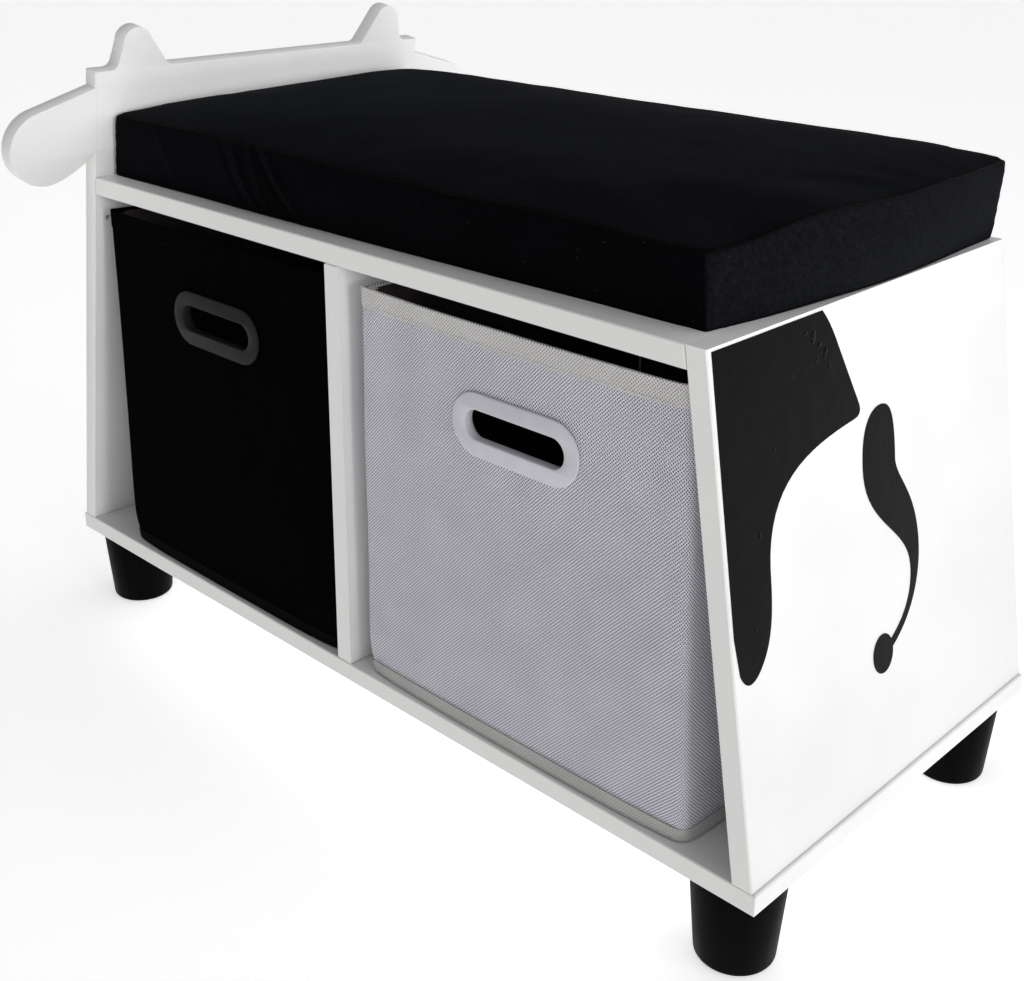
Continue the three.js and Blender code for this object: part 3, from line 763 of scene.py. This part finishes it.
# %% [markdown]
# ## The seat cushion
# The cushion is a foam slab in a fitted velvet cover. The cover is sewn from a top, a bottom and a border, so
# it has a seam round the top, another round the bottom and one up each corner. A flat grid of squares about
# 10 mm across is extruded up in steps, which gives an even mesh for the cloth simulation. The left end
# follows the lean of the head panel.

# %% Rough shape of the cushion
cover_low, cover_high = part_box("cushion_cover")
SHRINK = -0.6 * MM
length = cover_high.x - cover_low.x - 2 * SHRINK
depth = cover_high.y - cover_low.y - 2 * SHRINK
height = cover_high.z - cover_low.z - 2 * SHRINK
bpy.ops.object.select_all(action="DESELECT")
middle = (cover_low + cover_high) / 2
bpy.ops.mesh.primitive_grid_add(x_subdivisions=62, y_subdivisions=33, size=1,
                                location=(middle.x, middle.y, cover_low.z + SHRINK))
cover = bpy.context.object
cover.name = cover.data.name = "velvet_cover"
cover.scale = (length, depth, 1)
bpy.ops.object.transform_apply(location=True, rotation=True, scale=True)
bpy.ops.object.mode_set(mode="EDIT")
bpy.ops.mesh.select_all(action="SELECT")
for level in range(6):
    bpy.ops.mesh.extrude_region_move(TRANSFORM_OT_translate={"value": (0, 0, height / 6)})
bpy.ops.object.mode_set(mode="OBJECT")
outward(cover)

CORNERS = {  # how far each corner of the real cushion lies from its box, in millimetres
    "front_left_low": (-3, -4, 0), "front_right_low": (-7, 4, 0), "back_left_low": (1, 0, 0),
    "back_right_low": (4, 1, 0), "front_left_high": (0, -8, -2), "front_right_high": (-10, 4, -9),
    "back_left_high": (8, 0, 4), "back_right_high": (14, 4, 5),
}
corner_moves = {name: Vector(move) * MM for name, move in CORNERS.items()}


def blend(first, second, share):
    return first + (second - first) * share


for vert in cover.data.vertices:
    u, v, w = ((vert.co[i] - cover_low[i]) / (cover_high[i] - cover_low[i]) for i in range(3))
    low, high = (blend(blend(corner_moves[f"front_left_{level}"], corner_moves[f"front_right_{level}"], u),
                       blend(corner_moves[f"back_left_{level}"], corner_moves[f"back_right_{level}"], u), v)
                 for level in ("low", "high"))
    swell = math.sin(math.pi * min(1, max(0, u))), math.sin(math.pi * min(1, max(0, v)))
    belly = math.sin(math.pi * min(1, max(0, w)))
    crown = Vector((0, 0, 6.5 * MM)) * (swell[0] * swell[1]) ** 0.5 * w
    sides = Vector(((u - 0.5) * 2 * swell[1] ** 0.5 * 4.5 if u > 0.5 else 0, (v - 0.5) * 2 * swell[0] ** 0.5 * 3.5, 0))
    spread_out = Vector((8 * MM * swell[1] * max(0, 2 * u - 1), -4 * MM * swell[0] * max(0, 1 - 2 * v), 0))
    vert.co += blend(low, high, w) + crown + sides * MM * belly + spread_out

choose(cover, "edges", lambda edge: edge.calc_face_angle(0) > math.radians(50))
bpy.ops.mesh.mark_seam()
bpy.ops.object.mode_set(mode="OBJECT")
print("cushion mesh:", len(cover.data.polygons), "faces,", sum(e.use_seam for e in cover.data.edges), "seam edges")

# %% [markdown]
# Cloth with a little air pressure inside makes the faces swell between the seams, as foam does under a tight
# cover. Gravity is off, because the foam carries the cover. Each point may move only a few millimetres, so
# the cushion keeps its size. The seat then pushes its underside flat.

# %% Swell the cover
CAP = 6 * MM
start = [vert.co.copy() for vert in cover.data.vertices]
cloth = cover.modifiers.new("Cloth", "CLOTH")
cloth.settings.use_pressure = True
cloth.settings.uniform_pressure_force = 5
cloth.settings.effector_weights.gravity = 0
cloth.settings.tension_stiffness = 15
cloth.settings.bending_stiffness = 0.5
cloth.settings.quality = 5
for frame_number in range(1, 21):
    scene.frame_set(frame_number)
swollen = cover.evaluated_get(bpy.context.evaluated_depsgraph_get())
moved = [vert.co.copy() for vert in swollen.data.vertices]
cover.modifiers.remove(cloth)
scene.frame_set(1)
for vert, first, last in zip(cover.data.vertices, start, moved):
    step = last - first
    vert.co = first + step * min(1, CAP / max(step.length, 1e-9))
print("the cover moved up to", round(max((b - a).length for a, b in zip(start, moved)) * 1000, 1), "mm")

# %% [markdown]
# A used cushion isn't even. Its front corners are pulled down by the tight seam, a shallow dip lies beside
# each, the seams wander a little, and the border has soft folds near the corners. These are smooth moves of
# the points, each with a place and a reach, and a low, seeded noise.

# %% Pull the corners and level the underside
from mathutils import noise as field


def pull(piece, place, reach, move):
    for vert in piece.data.vertices:
        away = (vert.co - Vector(place)).length / reach
        if away < 1:
            vert.co += Vector(move) * (1 - away * away) ** 2


top = cover_high.z
front, back = cover_low.y, cover_high.y
pull(cover, (cover_high.x - 0.055, front + 0.055, top - 0.006), 0.07, (0, 0, -5 * MM))
pull(cover, (cover_high.x, front + 0.10, top - 0.004), 0.08, (0, 0, 5 * MM))
pull(cover, (cover_low.x + 0.06, front + 0.03, top - 0.004), 0.08, (0, 0, -3 * MM))
pull(cover, (0.02, front, top), 0.22, (0, 0, -2 * MM))
pull(cover, (cover_high.x, middle.y, top - 0.03), 0.16, (3 * MM, 0, 0))
for vert in cover.data.vertices:
    sway = field.noise_vector(vert.co * 9)
    fold = field.noise_vector(vert.co * 34 + Vector((7, 3, 5)))
    vert.co += Vector((sway.x * 1.2, sway.y * 1.2, sway.z * 1.4)) * MM + fold * 0.5 * MM
    floor_line = cover_low.z + 0.1 * MM
    from_edge = min(vert.co.y - front, back - vert.co.y, cover_high.x - vert.co.x, vert.co.x - cover_low.x) / (14 * MM)
    if vert.co.z < floor_line + 4 * MM:
        vert.co.z = floor_line + max(0, vert.co.z - floor_line) * 0.25 + 0.7 * MM * max(0, 1 - max(0, from_edge)) ** 2
print("cushion top between", round(cover_low.z, 4), "and", round(max(v.co.z for v in cover.data.vertices), 4))

# %% [markdown]
# The seams stay crisp while the faces between them are rounded, so the seam edges get a crease before the
# subdivision. Along each seam lies a thin tube in a nearly black finish, which is painted shadow for the groove
# of pinched cloth and thread. Its path is copied from the seam edges, made a curve and given a small round section.

# %% Foam inside the cover
filling = copy_of(cover, "foam_slab")
choose(filling, "faces", lambda face: True)
bpy.ops.transform.shrink_fatten(value=-4 * MM)
bpy.ops.mesh.normals_make_consistent(inside=False)
bpy.ops.object.mode_set(mode="OBJECT")
smooth(filling, 40)
finished(filling, foam, "cushion", ["cushion_foam"])

# %% Crease, subdivide and sew the seams
choose(cover, "edges", lambda edge: edge.seam)
crease = bmesh.from_edit_mesh(cover.data)
layer = crease.edges.layers.float.get("crease_edge") or crease.edges.layers.float.new("crease_edge")
for edge in crease.edges:
    from_end = min((edge.verts[0].co - Vector((x, y, z))).length for x in (cover_low.x, cover_high.x)
                   for y in (front, back) for z in (cover_low.z, top))
    edge[layer] = (0.5 + 0.4 * min(1, from_end / (60 * MM))) if edge.seam else 0.0
bmesh.update_edit_mesh(cover.data)
bpy.ops.object.mode_set(mode="OBJECT")
finish_with(cover, "SUBSURF", levels=2)
bpy.ops.object.shade_smooth()

for along in (-1, 1):
    for inward in (-1, 1):
        tip = max(cover.data.vertices, key=lambda vert: along * vert.co.x + inward * vert.co.y + 0.8 * vert.co.z)
        tip = tip.co.copy()
        for piece in (cover, filling):
            pull(piece, tip, 0.080, (-along * 2.5 * MM, -inward * 2 * MM, -1.5 * MM))
        for reach, rounds in ((0.050, 2), (0.040, 3), (0.030, 4), (0.020, 5), (0.012, 8)):
            choose(cover, "verts", lambda vert: (vert.co - tip).length < reach)
            bpy.ops.mesh.vertices_smooth(factor=0.5, repeat=rounds)
            bpy.ops.object.mode_set(mode="OBJECT")
        pull(filling, tip, 0.040, (-along * 5 * MM, -inward * 5 * MM, -5 * MM))

for piece, gap in ((cover, 0.1 * MM), (filling, 3.6 * MM)):
    for vert in piece.data.vertices:
        panel_face = cover_low.x + (vert.co.z - cover_low.z) * math.tan(math.radians(9.3))
        vert.co.x = max(vert.co.x, panel_face + gap)

FOLDS = [(-0.050, -0.096, 2.4, 4.0), (-0.062, -0.110, -2.0, 4.0), (-0.104, -0.134, 2.2, 3.5), (-0.090, -0.112, 1.6, 3.0),
         (-0.118, -0.150, -1.6, 3.5), (-0.205, -0.240, 1.0, 6.0), (0.05, 0.062, 0.8, 6.0), (0.17, 0.158, 0.7, 5.0),
         (0.288, 0.272, 1.0, 4.5)]
for vert in cover.data.vertices:
    if vert.co.y < front + 16 * MM:
        rise = (vert.co.z - cover_low.z) / (top - cover_low.z)
        for foot, head, depth_of, width in FOLDS:
            off = (vert.co.x - blend(foot, head, rise)) / (width * MM)
            vert.co.y -= depth_of * MM * math.exp(-off * off) * math.sin(math.pi * min(1, max(0, rise))) ** 0.6

choose(cover, "edges", lambda edge: edge.seam)
bpy.ops.mesh.duplicate()
bpy.ops.mesh.separate(type="SELECTED")
bpy.ops.object.mode_set(mode="OBJECT")
seam = next(piece for piece in bpy.context.selected_objects if piece is not cover)
seam.name = seam.data.name = "cushion_seams"
alone(seam)
bpy.ops.object.convert(target="CURVE")
seam = bpy.context.object
seam.data.bevel_depth = 0.75 * MM
seam.data.bevel_resolution = 1
seam.data.use_fill_caps = True
bpy.ops.object.convert(target="MESH")
seam = bpy.context.object
outward(seam)
smooth(seam, 60)
finished(cover, velvet, "cushion", ["cushion_cover"])
# The seam tube gets the painted seam shadow finish.
finished(seam, seam_shade, "cushion")
print("cushion cover:", len(cover.data.polygons), "faces; seams:", len(seam.data.polygons))

# %% [markdown]
# The cover closes with a nylon zip along the back border, so that it can be washed. A zip is a narrow tape, a
# coil of small teeth and a slider with a pull tab. One tooth is modelled and repeated with an array.

# %% Zip
ZIP_LENGTH = 0.43
zip_height = cover_low.z + 16 * MM
zip_back = max(vert.co.y for vert in cover.data.vertices if abs(vert.co.z - zip_height) < 8 * MM)
tape = block("zip_tape", (-ZIP_LENGTH / 2, zip_back - 0.6 * MM, zip_height - 9 * MM),
             (ZIP_LENGTH / 2, zip_back + 0.4 * MM, zip_height + 9 * MM))
finish_with(tape, "BEVEL", width=0.3 * MM, segments=2)
smooth(tape)
tooth = block("zip_coil", (-ZIP_LENGTH / 2 + 2 * MM, zip_back, zip_height - 2.4 * MM),
              (-ZIP_LENGTH / 2 + 3.1 * MM, zip_back + 1.5 * MM, zip_height + 2.4 * MM))
finish_with(tooth, "BEVEL", width=0.4 * MM, segments=1)
finish_with(tooth, "ARRAY", count=int((ZIP_LENGTH - 6 * MM) / (1.7 * MM)), use_relative_offset=False,
            use_constant_offset=True, constant_offset_displace=(1.7 * MM, 0, 0))
smooth(tooth)
slider = block("zip_slider", (ZIP_LENGTH / 2 - 14 * MM, zip_back + 0.4 * MM, zip_height - 4 * MM),
               (ZIP_LENGTH / 2 - 4 * MM, zip_back + 3.4 * MM, zip_height + 4 * MM))
finish_with(slider, "BEVEL", width=1.2 * MM, segments=3)
tab = block("zip_tab", (ZIP_LENGTH / 2 - 12 * MM, zip_back + 2.6 * MM, zip_height - 20 * MM),
            (ZIP_LENGTH / 2 - 7 * MM, zip_back + 3.8 * MM, zip_height + 1 * MM))
finish_with(tab, "BEVEL", width=0.5 * MM, segments=2)
slider = merge("zip_slider", [slider, tab])
smooth(slider)
finished(tape, black_band, "cushion")
finished(tooth, black_thread, "cushion")
finished(slider, steel, "cushion")

# %% [markdown]
# ## The fabric bins
# A bin is a cloth box with card in its walls and a loose lining. All its layers bend together: the outer wall
# leans in at the rim, each wall bows out a little between its corners, and the rim dips between them. `settle`
# moves any point of an ideal straight bin to its place in the soft one, so each layer is made straight, at
# its own distance from the outside, and then settled.

# %% How a bin settles


class Bin:
    def __init__(self, name, side):
        self.name, self.side = name, side
        self.outer_lean = (11 if side > 0 else 1.5) * MM
        self.low, self.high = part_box(f"{name}_outer_fabric")
        self.size = self.high - self.low


def settle(soft, point):
    up_share = (point.z - soft.low.z) / soft.size.z
    across = (point.x - soft.low.x) / soft.size.x
    inward = (point.y - soft.low.y) / soft.size.y
    if soft.side > 0:
        left, right = soft.low.x + 2 * MM * up_share, soft.high.x - soft.outer_lean * up_share
    else:
        left, right = soft.low.x + soft.outer_lean * up_share, soft.high.x - 2 * MM * up_share
    x = left + (right - left) * across
    hump = math.sin(math.pi * min(1, max(0, up_share)))
    along = math.sin(math.pi * min(1, max(0, across)))
    deep = math.sin(math.pi * min(1, max(0, inward)))
    x += (across - 0.5) * 2 * 1.4 * MM * deep * hump
    y = point.y + (inward - 0.5) * 2 * 0.6 * MM * along * hump
    sway = field.noise_vector(Vector((x, y, point.z)) * 11 + Vector((soft.side * 5, 2, 1)))
    low_corner = max(0, 1 - up_share / 0.09) ** 2
    corner = ((1 - along) * (1 - deep)) ** 3
    x -= (across - 0.5) * 2 * 4 * MM * low_corner * corner
    y -= (inward - 0.5) * 2 * 4 * MM * low_corner * corner
    edge = max(0, up_share - 0.8) / 0.2
    z = point.z + (1.6 * corner - 0.8 * along * (1 - deep)) * MM * edge
    return Vector((x + sway.x * 0.7 * MM, y + sway.y * 0.7 * MM, z + sway.z * 0.6 * MM * edge))


def soften(soft, piece):
    for vert in piece.data.vertices:
        vert.co = settle(soft, vert.co)


# %% [markdown]
# The outer wall and the lining are boxes without a lid. A cube is cut into squares about 12 mm across, its
# lid is removed, and one subdivision rounds the corners. Solidify gives the cloth its thickness. The slot
# for the handle is then cut through with the shape of the handle's collar.

# %% Cloth boxes and bands


def capsule(width, height):
    radius, reach = height / 2, width / 2 - height / 2
    knots = [[(-reach, -radius), None, None]]
    line_to(knots, (reach, -radius))
    arc_to(knots, (reach, 0), radius, radius, -90, 90)
    line_to(knots, (-reach, radius))
    arc_to(knots, (-reach, 0), radius, radius, 90, 270)
    return knots[:-1] if math.dist(knots[-1][0], knots[0][0]) < 0.01 and not knots[-1][1] else knots


def wall_loop(name, low, high, rows, fold_radius, cells=22):
    """Four upright walls in one strip, with rounded folds between them."""
    strip = block(name, low, high)
    choose(strip, "faces", lambda face: abs(face.normal.z) > 0.5)
    bpy.ops.mesh.delete(type="FACE")
    choose(strip, "edges", lambda edge: abs(edge.verts[0].co.z - edge.verts[1].co.z) > MM / 10)
    bpy.ops.mesh.select_all(action="DESELECT")
    for radius, side in ((min(fold_radius, 3.0), -1), (fold_radius, 1)):
        choose(strip, "edges", lambda edge: edge.calc_length() > 5 * MM and edge.verts[0].co.xy == edge.verts[1].co.xy
               and (edge.verts[0].co.x - (low[0] + high[0]) / 2) * side > 0)
        bpy.ops.mesh.bevel(offset=radius * MM, segments=4, affect="EDGES")
    choose(strip, "edges", lambda edge: edge.calc_length() > 30 * MM
           and abs(edge.verts[0].co.z - edge.verts[1].co.z) < MM / 10)
    bpy.ops.mesh.subdivide(number_cuts=cells)
    if rows > 1:
        choose(strip, "edges", lambda edge: abs(edge.verts[0].co.z - edge.verts[1].co.z) > MM / 10)
        bpy.ops.mesh.subdivide(number_cuts=rows - 1)
    bpy.ops.object.mode_set(mode="OBJECT")
    return strip


def cloth_box(soft, name, inset, low, high, thickness, fold_radius):
    inset = Vector((inset, inset, 0)) * MM
    floor_height = soft.low.z + low * MM
    box = wall_loop(name, soft.low + inset + Vector((0, 0, low * MM)),
                    Vector((soft.high.x, soft.high.y, soft.low.z + high * MM)) - inset, 24, fold_radius)
    choose(box, "edges", lambda edge: all(vert.co.z < floor_height + MM / 10 for vert in edge.verts))
    middle = (soft.low + soft.high) / 2
    for shrink in (0.975, 0.9):
        bpy.ops.mesh.extrude_edges_move()
        bpy.ops.transform.resize(value=(shrink, shrink, 1), center_override=(middle.x, middle.y, floor_height))
    bpy.ops.mesh.edge_face_add()
    bpy.ops.object.mode_set(mode="OBJECT")
    outward(box)
    soften(soft, box)
    finish_with(box, "SUBSURF", levels=1)
    finish_with(box, "SOLIDIFY", thickness=thickness * MM, offset=-1)
    return box


def cloth_band(soft, name, outset, low, high, thickness, fold_radius, flare=0.0):
    """A strip sewn round the bin, standing proud of the wall by outset, and by flare more at its foot."""
    outset = Vector((outset, outset, 0)) * MM
    band = wall_loop(name, Vector((soft.low.x, soft.low.y, soft.low.z + low * MM)) - outset,
                     Vector((soft.high.x, soft.high.y, soft.low.z + high * MM)) + outset, 3, fold_radius)
    outward(band)
    for vert in band.data.vertices:
        down = (soft.low.z + high * MM - vert.co.z) / ((high - low) * MM)
        vert.co += Vector((vert.normal.x, vert.normal.y, 0)) * flare * MM * down
    soften(soft, band)
    finish_with(band, "SUBSURF", levels=1)
    finish_with(band, "SOLIDIFY", thickness=thickness * MM, offset=-1)
    return band


def stiff_card(soft, name, low, high, slot_place=None):
    """A sheet of board between the outer cloth and the lining, bent with them."""
    card = block(name, low, high)
    choose(card, "faces", lambda face: True)
    bpy.ops.mesh.subdivide(number_cuts=11)
    bpy.ops.object.mode_set(mode="OBJECT")
    soften(soft, card)
    return card


def at_handle(soft, place):
    """The settled middle of the handle, on the front wall."""
    return settle(soft, Vector((place.x, soft.low.y, place.z)))


# %% [markdown]
# Seams are rows of small stitches. One stitch is a short, thick capsule of thread. It is repeated along each
# wall by an array, and the rows settle with the cloth. The thicker line at the base is piping, a tube that
# runs right round.

# %% Stitches and piping


def stitch_row(soft, name, height, pitch=4.2, proud=0.35):
    rows = []
    z = soft.low.z + height * MM
    for wall, (axis, fixed) in {"front": (0, soft.low.y - proud * MM), "back": (0, soft.high.y + proud * MM),
                                "left": (1, soft.low.x - proud * MM), "right": (1, soft.high.x + proud * MM)}.items():
        begin, end = soft.low[axis] + 8 * MM, soft.high[axis] - 8 * MM
        bpy.ops.object.select_all(action="DESELECT")
        bpy.ops.mesh.primitive_cylinder_add(vertices=6, radius=0.32 * MM, depth=2.6 * MM,
                                            rotation=(0, math.pi / 2, 0) if axis == 0 else (math.pi / 2, 0, 0),
                                            location=(begin, fixed, z) if axis == 0 else (fixed, begin, z))
        stitch = bpy.context.object
        bpy.ops.object.transform_apply(location=True, rotation=True, scale=True)
        finish_with(stitch, "BEVEL", width=0.14 * MM, segments=1)
        finish_with(stitch, "ARRAY", count=int((end - begin) / (pitch * MM)), use_relative_offset=False,
                    use_constant_offset=True,
                    constant_offset_displace=(pitch * MM, 0, 0) if axis == 0 else (0, pitch * MM, 0))
        rows.append(stitch)
    stitches = merge(name, rows)
    soften(soft, stitches)
    smooth(stitches, 60)
    return stitches


def piping(soft, name, height, outset, radius):
    bpy.ops.object.select_all(action="DESELECT")
    bpy.ops.mesh.primitive_plane_add(size=1)
    ring = bpy.context.object
    ring.name = ring.data.name = name
    edge = outset * MM
    put(ring, Matrix.Translation(((soft.low.x + soft.high.x) / 2, (soft.low.y + soft.high.y) / 2,
                                  soft.low.z + height * MM))
        @ Matrix.Diagonal((soft.size.x + 2 * edge, soft.size.y + 2 * edge, 1, 1)))
    choose(ring, "verts", lambda vert: True)
    bpy.ops.mesh.bevel(offset=9.3 * MM, segments=5, affect="VERTICES")
    bpy.ops.mesh.delete(type="ONLY_FACE")
    choose(ring, "edges", lambda edge: edge.calc_length() > 50 * MM)
    bpy.ops.mesh.subdivide(number_cuts=23)
    bpy.ops.object.mode_set(mode="OBJECT")
    soften(soft, ring)
    alone(ring)
    bpy.ops.object.convert(target="CURVE")
    ring = bpy.context.object
    ring.data.bevel_depth = radius * MM
    ring.data.bevel_resolution = 2
    bpy.ops.object.convert(target="MESH")
    ring = bpy.context.object
    outward(ring)
    smooth(ring, 60)
    return ring


# %% [markdown]
# The handle is in two halves: a ring outside, with a collar that passes through the wall, and a flat clip
# inside that holds it. Both are capsules with a capsule hole. The ring is domed a little, by a larger
# rounding of its edge, and the collar shows as a thin lining of the hole.

# %% Handles
RING, OPENING = (112.0, 45.0), (88.0, 21.0)
FACING_FRONT = Matrix(((1, 0, 0, 0), (0, 0, -1, 0), (0, 1, 0, 0), (0, 0, 0, 1)))


def fit_handle(soft, plastic):
    low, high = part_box(f"{soft.name}_handle_ring")
    place = (low + high) / 2
    settled = at_handle(soft, place)
    ring = cut_out(f"{soft.name}_grip_ring", [capsule(*RING), capsule(*OPENING)], 2.2, 0.8, 8)
    put(ring, Matrix.Translation((place.x, settled.y - 1.2 * MM, place.z)) @ FACING_FRONT)
    collar = cut_out("collar", [capsule(OPENING[0] + 3.2, OPENING[1] + 3.2), capsule(*OPENING)], 5.8, 0.5, 8)
    put(collar, Matrix.Translation((place.x, settled.y + 1.8 * MM, place.z)) @ FACING_FRONT)
    ring = merge(f"{soft.name}_grip_ring", [ring, collar])
    smooth(ring, 50)
    finished(ring, plastic, soft.name, [f"{soft.name}_handle_ring"])
    clip = cut_out(f"{soft.name}_grip_clip", [capsule(RING[0] - 6, RING[1] - 6),
                                              capsule(OPENING[0] + 4.4, OPENING[1] + 4.4)], 2.0, 0.6, 8)
    put(clip, Matrix.Translation((place.x, settled.y + 6.6 * MM, place.z)) @ FACING_FRONT)
    smooth(clip, 50)
    finished(clip, plastic, soft.name, [f"{soft.name}_handle_clip"])
    return place, settled


def cut_slot(soft, piece, place, settled):
    cutter = cut_out("slot_cutter", [capsule(OPENING[0] + 4.4, OPENING[1] + 4.4)], 30.0, 0.0, 8)
    put(cutter, Matrix.Translation((place.x, settled.y, place.z)) @ FACING_FRONT)
    finish_with(piece, "BOOLEAN", object=cutter, operation="DIFFERENCE", solver="EXACT")
    bpy.data.objects.remove(cutter)


# %% [markdown]
# Now both bins are sewn. Each gets an outer wall, a folded hem round the rim, a narrow band round the base
# with piping above it, a black lining, and stitches along both seams. The cards between outer wall and lining
# are new sheets of board, bent with the cloth, that stand in for the measured ones.

# %% Sew the bins


def sew_bin(name, side, cloth, hem_look, band_look, thread, plastic):
    soft = Bin(name, side)
    height = soft.size.z / MM
    place, settled = fit_handle(soft, plastic)
    outer = cloth_box(soft, f"{name}_outer_cloth", 0.0, 0.0, height - 1.0, 1.1, 6.5)
    cut_slot(soft, outer, place, settled)
    smooth(outer, 45)
    finished(outer, cloth, name, [f"{name}_outer_fabric"])
    lining = cloth_box(soft, f"{name}_lining_cloth", 4.7, 1.6, height - 1.5, 0.8, 4.0)
    cut_slot(soft, lining, place, settled)
    smooth(lining, 45)
    finished(lining, black_lining, name, [f"{name}_lining"])
    hem = cloth_band(soft, f"{name}_hem", 0.45, height - 14.0, height + 0.3, 0.5, 6.8)
    smooth(hem, 45)
    finished(hem, hem_look, name)
    cap = rim_cap(soft, f"{name}_rim", height)
    finished(cap, hem_look, name)
    band = cloth_band(soft, f"{name}_base_band", 0.4, 0.6, 8.6, 0.5, 6.8, 1.8)
    smooth(band, 45)
    finished(band, band_look, name)
    binding = []
    for x in (soft.low.x + 15 * MM, soft.high.x - 17 * MM):
        strip = block(f"{name}_binding", (x, soft.high.y - 6.8 * MM, soft.low.z + 4 * MM),
                      (x + 2.4 * MM, soft.high.y - 6.0 * MM, soft.high.z - 4 * MM))
        choose(strip, "edges", lambda edge: abs(edge.verts[0].co.z - edge.verts[1].co.z) > MM)
        bpy.ops.mesh.subdivide(number_cuts=23)
        bpy.ops.object.mode_set(mode="OBJECT")
        soften(soft, strip)
        finish_with(strip, "BEVEL", width=0.25 * MM, segments=2)
        binding.append(strip)
    binding = merge(f"{name}_binding", binding)
    smooth(binding)
    finished(binding, thread, name)
    card_low, card_high = soft.low.z + 1.5 * MM, soft.high.z - 3.4 * MM
    clear = 10 * MM
    for wall in ("front", "back"):
        near = soft.low.y + 1.5 * MM if wall == "front" else soft.high.y - 4 * MM
        card = stiff_card(soft, f"{name}_{wall}_stiffener", (soft.low.x + clear, near, card_low),
                          (soft.high.x - clear, near + 2.5 * MM, card_high))
        if wall == "front":
            cut_slot(soft, card, place, settled)
        finished(card, greyboard, name, [f"{name}_{wall}_card"])
    for wall, near in (("left", soft.low.x + 1.5 * MM), ("right", soft.high.x - 4 * MM)):
        card = stiff_card(soft, f"{name}_{wall}_stiffener", (near, soft.low.y + clear, card_low),
                          (near + 2.5 * MM, soft.high.y - clear, card_high))
        node = "inner" if (wall == "left") == (side > 0) else "outer"
        finished(card, greyboard, name, [f"{name}_{node}_side_card"])
    tube = merge(f"{name}_piping", [piping(soft, "upper_piping", 9.0, 0.5, 0.75), piping(soft, "lower_piping", 1.3, 1.9, 0.6)])
    finished(tube, band_look, name)
    stitches = merge(f"{name}_stitches", [stitch_row(soft, "hem_stitches", height - 12.4, proud=0.75),
                                          stitch_row(soft, "base_stitches", 11.2, proud=0.3)])
    finished(stitches, thread, name)
    print(name, "outer", len(outer.data.polygons), "lining", len(lining.data.polygons), "faces")
    return soft, outer, lining, hem, band


def rim_cap(soft, name, height):
    """The fold that closes the wall at the rim, from the outer cloth to the lining."""
    inset = Vector((5.6, 5.6, 0)) * MM
    z = soft.low.z + (height - 0.2) * MM
    bpy.ops.object.select_all(action="DESELECT")
    bpy.ops.mesh.primitive_plane_add(size=1)
    cap = bpy.context.object
    cap.name = cap.data.name = name
    middle = (soft.low + soft.high) / 2
    put(cap, Matrix.Translation((middle.x, middle.y, z)) @ Matrix.Diagonal((soft.size.x, soft.size.y, 1, 1)))
    choose(cap, "faces", lambda face: True)
    bpy.ops.mesh.inset(thickness=inset.x)
    choose(cap, "faces", lambda face: face.calc_area() > 0.05)
    bpy.ops.mesh.delete(type="FACE")
    choose(cap, "edges", lambda edge: edge.calc_length() > 50 * MM)
    bpy.ops.mesh.subdivide(number_cuts=23)
    choose(cap, "edges", lambda edge: edge.calc_length() < 9 * MM)
    bpy.ops.mesh.subdivide(number_cuts=3)
    bpy.ops.object.mode_set(mode="OBJECT")
    for vert in cap.data.vertices:
        wall = min(vert.co.x - soft.low.x, soft.high.x - vert.co.x, vert.co.y - soft.low.y, soft.high.y - vert.co.y)
        vert.co.z -= 2.2 * MM * (abs(wall / (5.6 * MM) - 0.5) * 2) ** 3
    soften(soft, cap)
    finish_with(cap, "SOLIDIFY", thickness=0.5 * MM, offset=-1)
    finish_with(cap, "SUBSURF", levels=1)
    smooth(cap, 60)
    return cap


white = sew_bin("white_bin", 1, white_cloth, hem_cloth, white_band, white_thread, white_plastic)
black = sew_bin("black_bin", -1, black_cloth, black_cloth, black_band, black_thread,
                grey_plastic)

# %% [markdown]
# The size that each sheet of cloth was cut to is worked out. An outer wall is a cross of four walls round a
# base, and a lining is the same, a little smaller. A hem or a base band is one strip that runs right round.

for soft, outer, lining, hem, band in (white, black):
    wide, deep, tall = soft.size
    for piece, less in ((outer, 0.0), (lining, 9.4 * MM)):
        w, d, t = wide - less, deep - less, tall - less / 2
